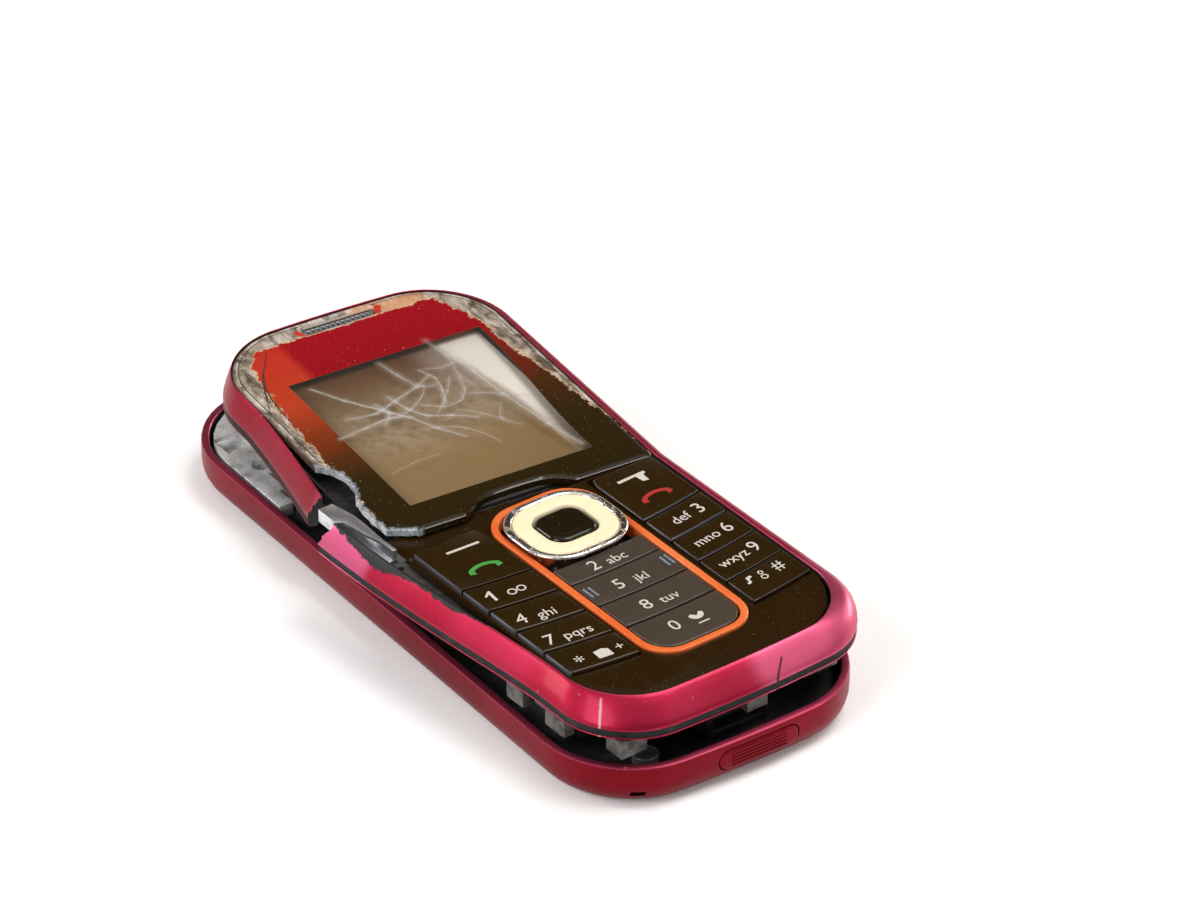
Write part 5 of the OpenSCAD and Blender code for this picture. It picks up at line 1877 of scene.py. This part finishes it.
    def icons(self) -> None:
        """Dashes, handsets and the small signs of the keypad."""
        p, top = self.palette, LEVELS.key_top
        dash = [(-16.6, -2.95), (-11.4, -3.25), (-11.4, -2.8), (-16.6, -2.5)]
        enlist(self.strip("ink_left_dash", dash, top), p.ink, body="left_soft_key", slot="gloss_black")
        worn = [(12.3, -3.25), (15.2, -3.1), (15.4, -4.6), (16.3, -4.8), (16.4, -3.3), (17.0, -3.0),
                (16.9, -2.55), (12.3, -2.7)]
        enlist(self.strip("ink_right_dash", worn, top), p.ink, body="right_soft_key", slot="gloss_black")
        enlist(self.strip("ink_call", self.handset(-14.4, -8.2, -0.04), top), p.ink_green,
               body="left_soft_key", slot="gloss_black")
        enlist(self.strip("ink_end", self.handset(14.7, -8.2, 0.07), top), p.ink_red,
               body="right_soft_key", slot="gloss_black")
        one = [(-17.95, -15.75), (-17.55, -15.75), (-17.30, -13.35), (-17.62, -13.33), (-18.62, -14.15),
               (-18.45, -14.45), (-17.82, -13.98)]
        enlist(self.strip("ink_key_1_digit", one, node_box("key_1")[1].z), p.ink, body="key_1",
               slot="gloss_black")
        for i, cx in enumerate((-14.9, -13.4)):
            self._loop_sign(f"ink_key_1_reel_{i}", cx, -15.3, 0.7, 0.22, "key_1")
        envelope = [(-15.0, -34.9), (-12.8, -35.15), (-12.75, -33.6), (-13.5, -33.1), (-14.9, -33.2)]
        enlist(self.strip("ink_star_envelope", envelope, node_box("key_star")[1].z), p.ink, body="key_star",
               slot="gloss_black")
        bowl = arc(1.6, -34.0, 1.15, 180, 360, 14) + [(2.3, -33.7), (1.6, -34.4), (0.9, -33.7)]
        enlist(self.strip("ink_zero_bowl", bowl, node_box("key_0")[1].z), p.ink, body="key_0",
               slot="key_grey")
        bar = [(0.7, -36.15), (2.5, -36.15), (2.5, -35.9), (0.7, -35.9)]
        enlist(self.strip("ink_zero_bar", bar, node_box("key_0")[1].z), p.ink, body="key_0", slot="key_grey")
        note = [(11.5, -33.2), (12.1, -33.0), (12.2, -32.2), (12.9, -31.9), (12.7, -31.5), (11.9, -31.7),
                (11.8, -32.7), (11.4, -32.8)]
        enlist(self.strip("ink_hash_note", note, node_box("key_hash")[1].z), p.ink, body="key_hash",
               slot="gloss_black")
        self._loop_sign("ink_hash_lock_0", 14.3, -32.9, 0.55, 0.2, "key_hash")
        self._loop_sign("ink_hash_lock_1", 14.4, -31.8, 0.42, 0.18, "key_hash")

    def _loop_sign(self, name: str, cx: float, cy: float, r: float, t: float, key: str) -> None:
        """A small printed ring on a key.

        Args:
            name: the piece's name.
            cx: middle across.
            cy: middle along.
            r: outer radius.
            t: stroke width.
            key: the key that carries it.
        """
        outer, inner = arc(cx, cy, r, 0, 360, 20)[:-1], arc(cx, cy, r - t, 0, 360, 20)[:-1]
        top = node_box(key)[1].z
        rings = []
        for loop, z in ((outer, 0.0), (outer, self.ink_t), (inner, self.ink_t), (inner, 0.0)):
            rings.append([(*LOWER.apply(p), top + z) for p in loop])
        enlist(mesh_object(name, *loft(rings, closed=True), 30), self.palette.ink, body=key,
               slot=slot_of(key))

    def ridges(self) -> None:
        """The pairs of raised bars at both ends of the middle key."""
        top = node_box("key_5")[1].z
        profile = ((0.0, 0.0, 0.14), (0.0, 0.10, 0.14), (0.07, 0.18, 0.08))
        for i, cx in enumerate((-6.85, -6.05, 6.05, 6.85)):
            cy = 0.12 * abs(cx) - 22.4
            rings = []
            for inset, z, r in profile:
                loop = round_rect(0.16 - inset, inset - 1.25, 1.25 - inset, r - inset, r - inset, 5, 4, 2)
                rings.append([(*LOWER.apply((cx + u, cy + v)), top + z) for u, v in loop])
            enlist(mesh_object(f"key_5_bar_{i}", *loft(rings), 50), self.palette.bar, body="key_5",
                   slot="key_grey")

    @staticmethod
    def with_painted_rim_sheen(piece: bpy.types.Object) -> bpy.types.Object:
        """Marks where a key gets a painted blue-grey reflection on its rounded edges: strong on the left
        sides of the left column.

        Args:
            piece: the cap.

        Returns:
            The same piece.
        """
        left = piece.data.vertices[0].co.x < -0.006
        values = []
        for vertex in piece.data.vertices:
            n = vertex.normal
            if left:
                values.append(max(0.0, min(1.0, (-n.x - 0.25) * 2.5)))
            else:
                values.append(0.8 * max(0.0, min(1.0, (0.97 - n.z) * 4.0)) * (1.0 if n.z > 0.2 else 0.0))
        piece.data.attributes.new("rim", "FLOAT", "POINT").data.foreach_set("value", values)
        return piece

    def build(self) -> None:
        """Builds and enlists the keypad half."""
        p = self.palette
        for key in SIDE_KEYS:
            enlist(self.with_painted_rim_sheen(bevelled(key, key + "_cap", 0.32, 4)), p.key_side, key)
        for key in CENTRE_KEYS:
            enlist(bevelled(key, key + "_cap", 0.28, 4), p.key_centre, key)
        enlist(bevelled("face_plate", "face_plate_gloss", 0.15, 3), p.face, "face_plate")
        enlist(bevelled("trim_ring", "trim_ring_orange", 0.3, 4), p.orange, "trim_ring")
        enlist(bevelled("light_guide", "light_guide_grey", 0.3, 3), p.guide, "light_guide")
        enlist(bevelled("side_bracket", "side_bracket_bright", 0.08, 2), p.bright, "side_bracket")
        enlist(self.nav_key(), None, "nav_key")
        enlist(self.select_key(), p.select, "select_key")
        for item in LEGENDS:
            enlist(self.legend(item), p.ink, body=item.key, slot=slot_of(item.key))
        self.icons()
        self.ridges()


# ---------------------------------------------------------------- studio

@dataclass
class Studio:
    """Pale floor, soft lights and the camera."""

    elevation: float = 34.0
    azimuth: float = -34.0
    distance: float = 1.0
    lens: float = 218.1
    aim_right: float = 11.39
    aim_up: float = 12.87

    def build(self) -> None:
        """Makes the floor, the world, the lights and the camera."""
        scene = bpy.context.scene
        scene.view_settings.view_transform = "Standard"
        self.floor()
        self.world()
        target = Vector((0.0, 0.0, 0.008))
        self.light("left_light", (-0.75, -0.15, 0.62), 0.5, 0.5, 4.5, (0.95, 0.98, 1.0), target)
        self.light("top_light", (0.36, -0.20, 0.92), 0.55, 0.55, 6.0, (1.0, 0.98, 0.96), target)
        self.light("front_light", (0.45, -0.66, 0.57), 0.5, 0.35, 0.7, (1.0, 0.97, 0.98), target)
        self.light("back_left_light", (-0.66, 0.64, 0.40), 0.30, 0.30, 3.0, (1.0, 0.97, 0.97), target)
        self.light("right_light", (0.95, 0.15, 0.16), 0.35, 0.20, 3.6, (1.0, 0.97, 0.98), target)
        self.camera()

    def floor(self) -> None:
        """A pale matt floor."""
        size = 3000.0
        piece = mesh_object("floor", [(-size, -size, 0), (size, -size, 0), (size, size, 0), (-size, size, 0)],
                            [(0, 1, 2, 3)])
        g = Graph("floor_pale")
        piece.data.materials.append(g.surface(
            Base_Color=(0.93, 0.93, 0.93), Roughness=0.6, Specular_IOR_Level=0.25,
            Emission_Color=(1.0, 1.0, 1.0), Emission_Strength=0.12))

    def world(self) -> None:
        """A soft warm-grey dome, brighter overhead than at the height of a table's edge."""
        world = bpy.data.worlds.new("studio_dome")
        world.use_nodes = True
        tree = world.node_tree
        back = tree.nodes.get("Background") or tree.nodes.new("ShaderNodeBackground")
        coords = tree.nodes.new("ShaderNodeTexCoord")
        parts = tree.nodes.new("ShaderNodeSeparateXYZ")
        ramp = tree.nodes.new("ShaderNodeValToRGB")
        tree.links.new(coords.outputs["Generated"], parts.inputs[0])
        tree.links.new(parts.outputs["Z"], ramp.inputs[0])
        tree.links.new(ramp.outputs[0], back.inputs["Color"])
        ramp.color_ramp.elements[0].position = 0.0
        ramp.color_ramp.elements[0].color = (0.80, 0.78, 0.75, 1)
        ramp.color_ramp.elements[1].position = 1.0
        ramp.color_ramp.elements[1].color = (1.0, 0.98, 0.96, 1)
        for place, color in ((0.22, (0.36, 0.31, 0.26)), (0.42, (0.035, 0.022, 0.010)),
                             (0.70, (0.035, 0.024, 0.013)), (0.85, (0.55, 0.52, 0.50))):
            ramp.color_ramp.elements.new(place).color = (*color, 1)
        back.inputs["Strength"].default_value = 0.9
        bpy.context.scene.world = world

    def light(self, name: str, place: tuple[float, float, float], w: float, h: float, power: float,
              color: Color, target: Vector) -> None:
        """Adds a soft rectangular light aimed at the phone.

        Args:
            name: the light's name.
            place: where it hangs, in metres.
            w: width in metres.
            h: height in metres.
            power: watts.
            color: its colour.
            target: what it faces.
        """
        data = bpy.data.lights.new(name, "AREA")
        data.shape = "RECTANGLE"
        data.size, data.size_y = w, h
        data.energy = power
        data.color = color
        lamp = bpy.data.objects.new(name, data)
        lamp.location = place
        lamp.rotation_euler = (target - Vector(place)).to_track_quat("-Z", "Y").to_euler()
        bpy.context.scene.collection.objects.link(lamp)

    def camera(self) -> None:
        """The camera, looking down at the phone from its lower left."""
        el, az = math.radians(self.elevation), math.radians(self.azimuth)
        origin = Vector((0.0, 0.0, LEVELS.shell_h * MM))
        toward = Vector((math.sin(az) * math.cos(el), -math.cos(az) * math.cos(el), math.sin(el)))
        right = Vector((math.cos(az), math.sin(az), 0.0))
        up = toward.cross(right)
        data = bpy.data.cameras.new("camera")
        data.lens = self.lens
        data.sensor_width = 36.0
        data.clip_end = 50.0
        camera = bpy.data.objects.new("camera", data)
        place = origin + toward * self.distance
        aim = origin + right * self.aim_right * MM + up * self.aim_up * MM
        camera.location = place
        camera.rotation_euler = (aim - place).to_track_quat("-Z", "Y").to_euler()
        bpy.context.scene.collection.objects.link(camera)
        bpy.context.scene.camera = camera


def main() -> None:
    """Builds the phone piece by piece."""
    logging.basicConfig(level=logging.INFO, format="%(message)s")
    palette = Palette()
    RearShell(palette).build()
    RearInside(palette).build()
    FrontFrame(palette).build()
    DisplayHalf(palette).build()
    KeypadHalf(palette).build()
    Studio().build()


if __name__ == "__main__":
    main()
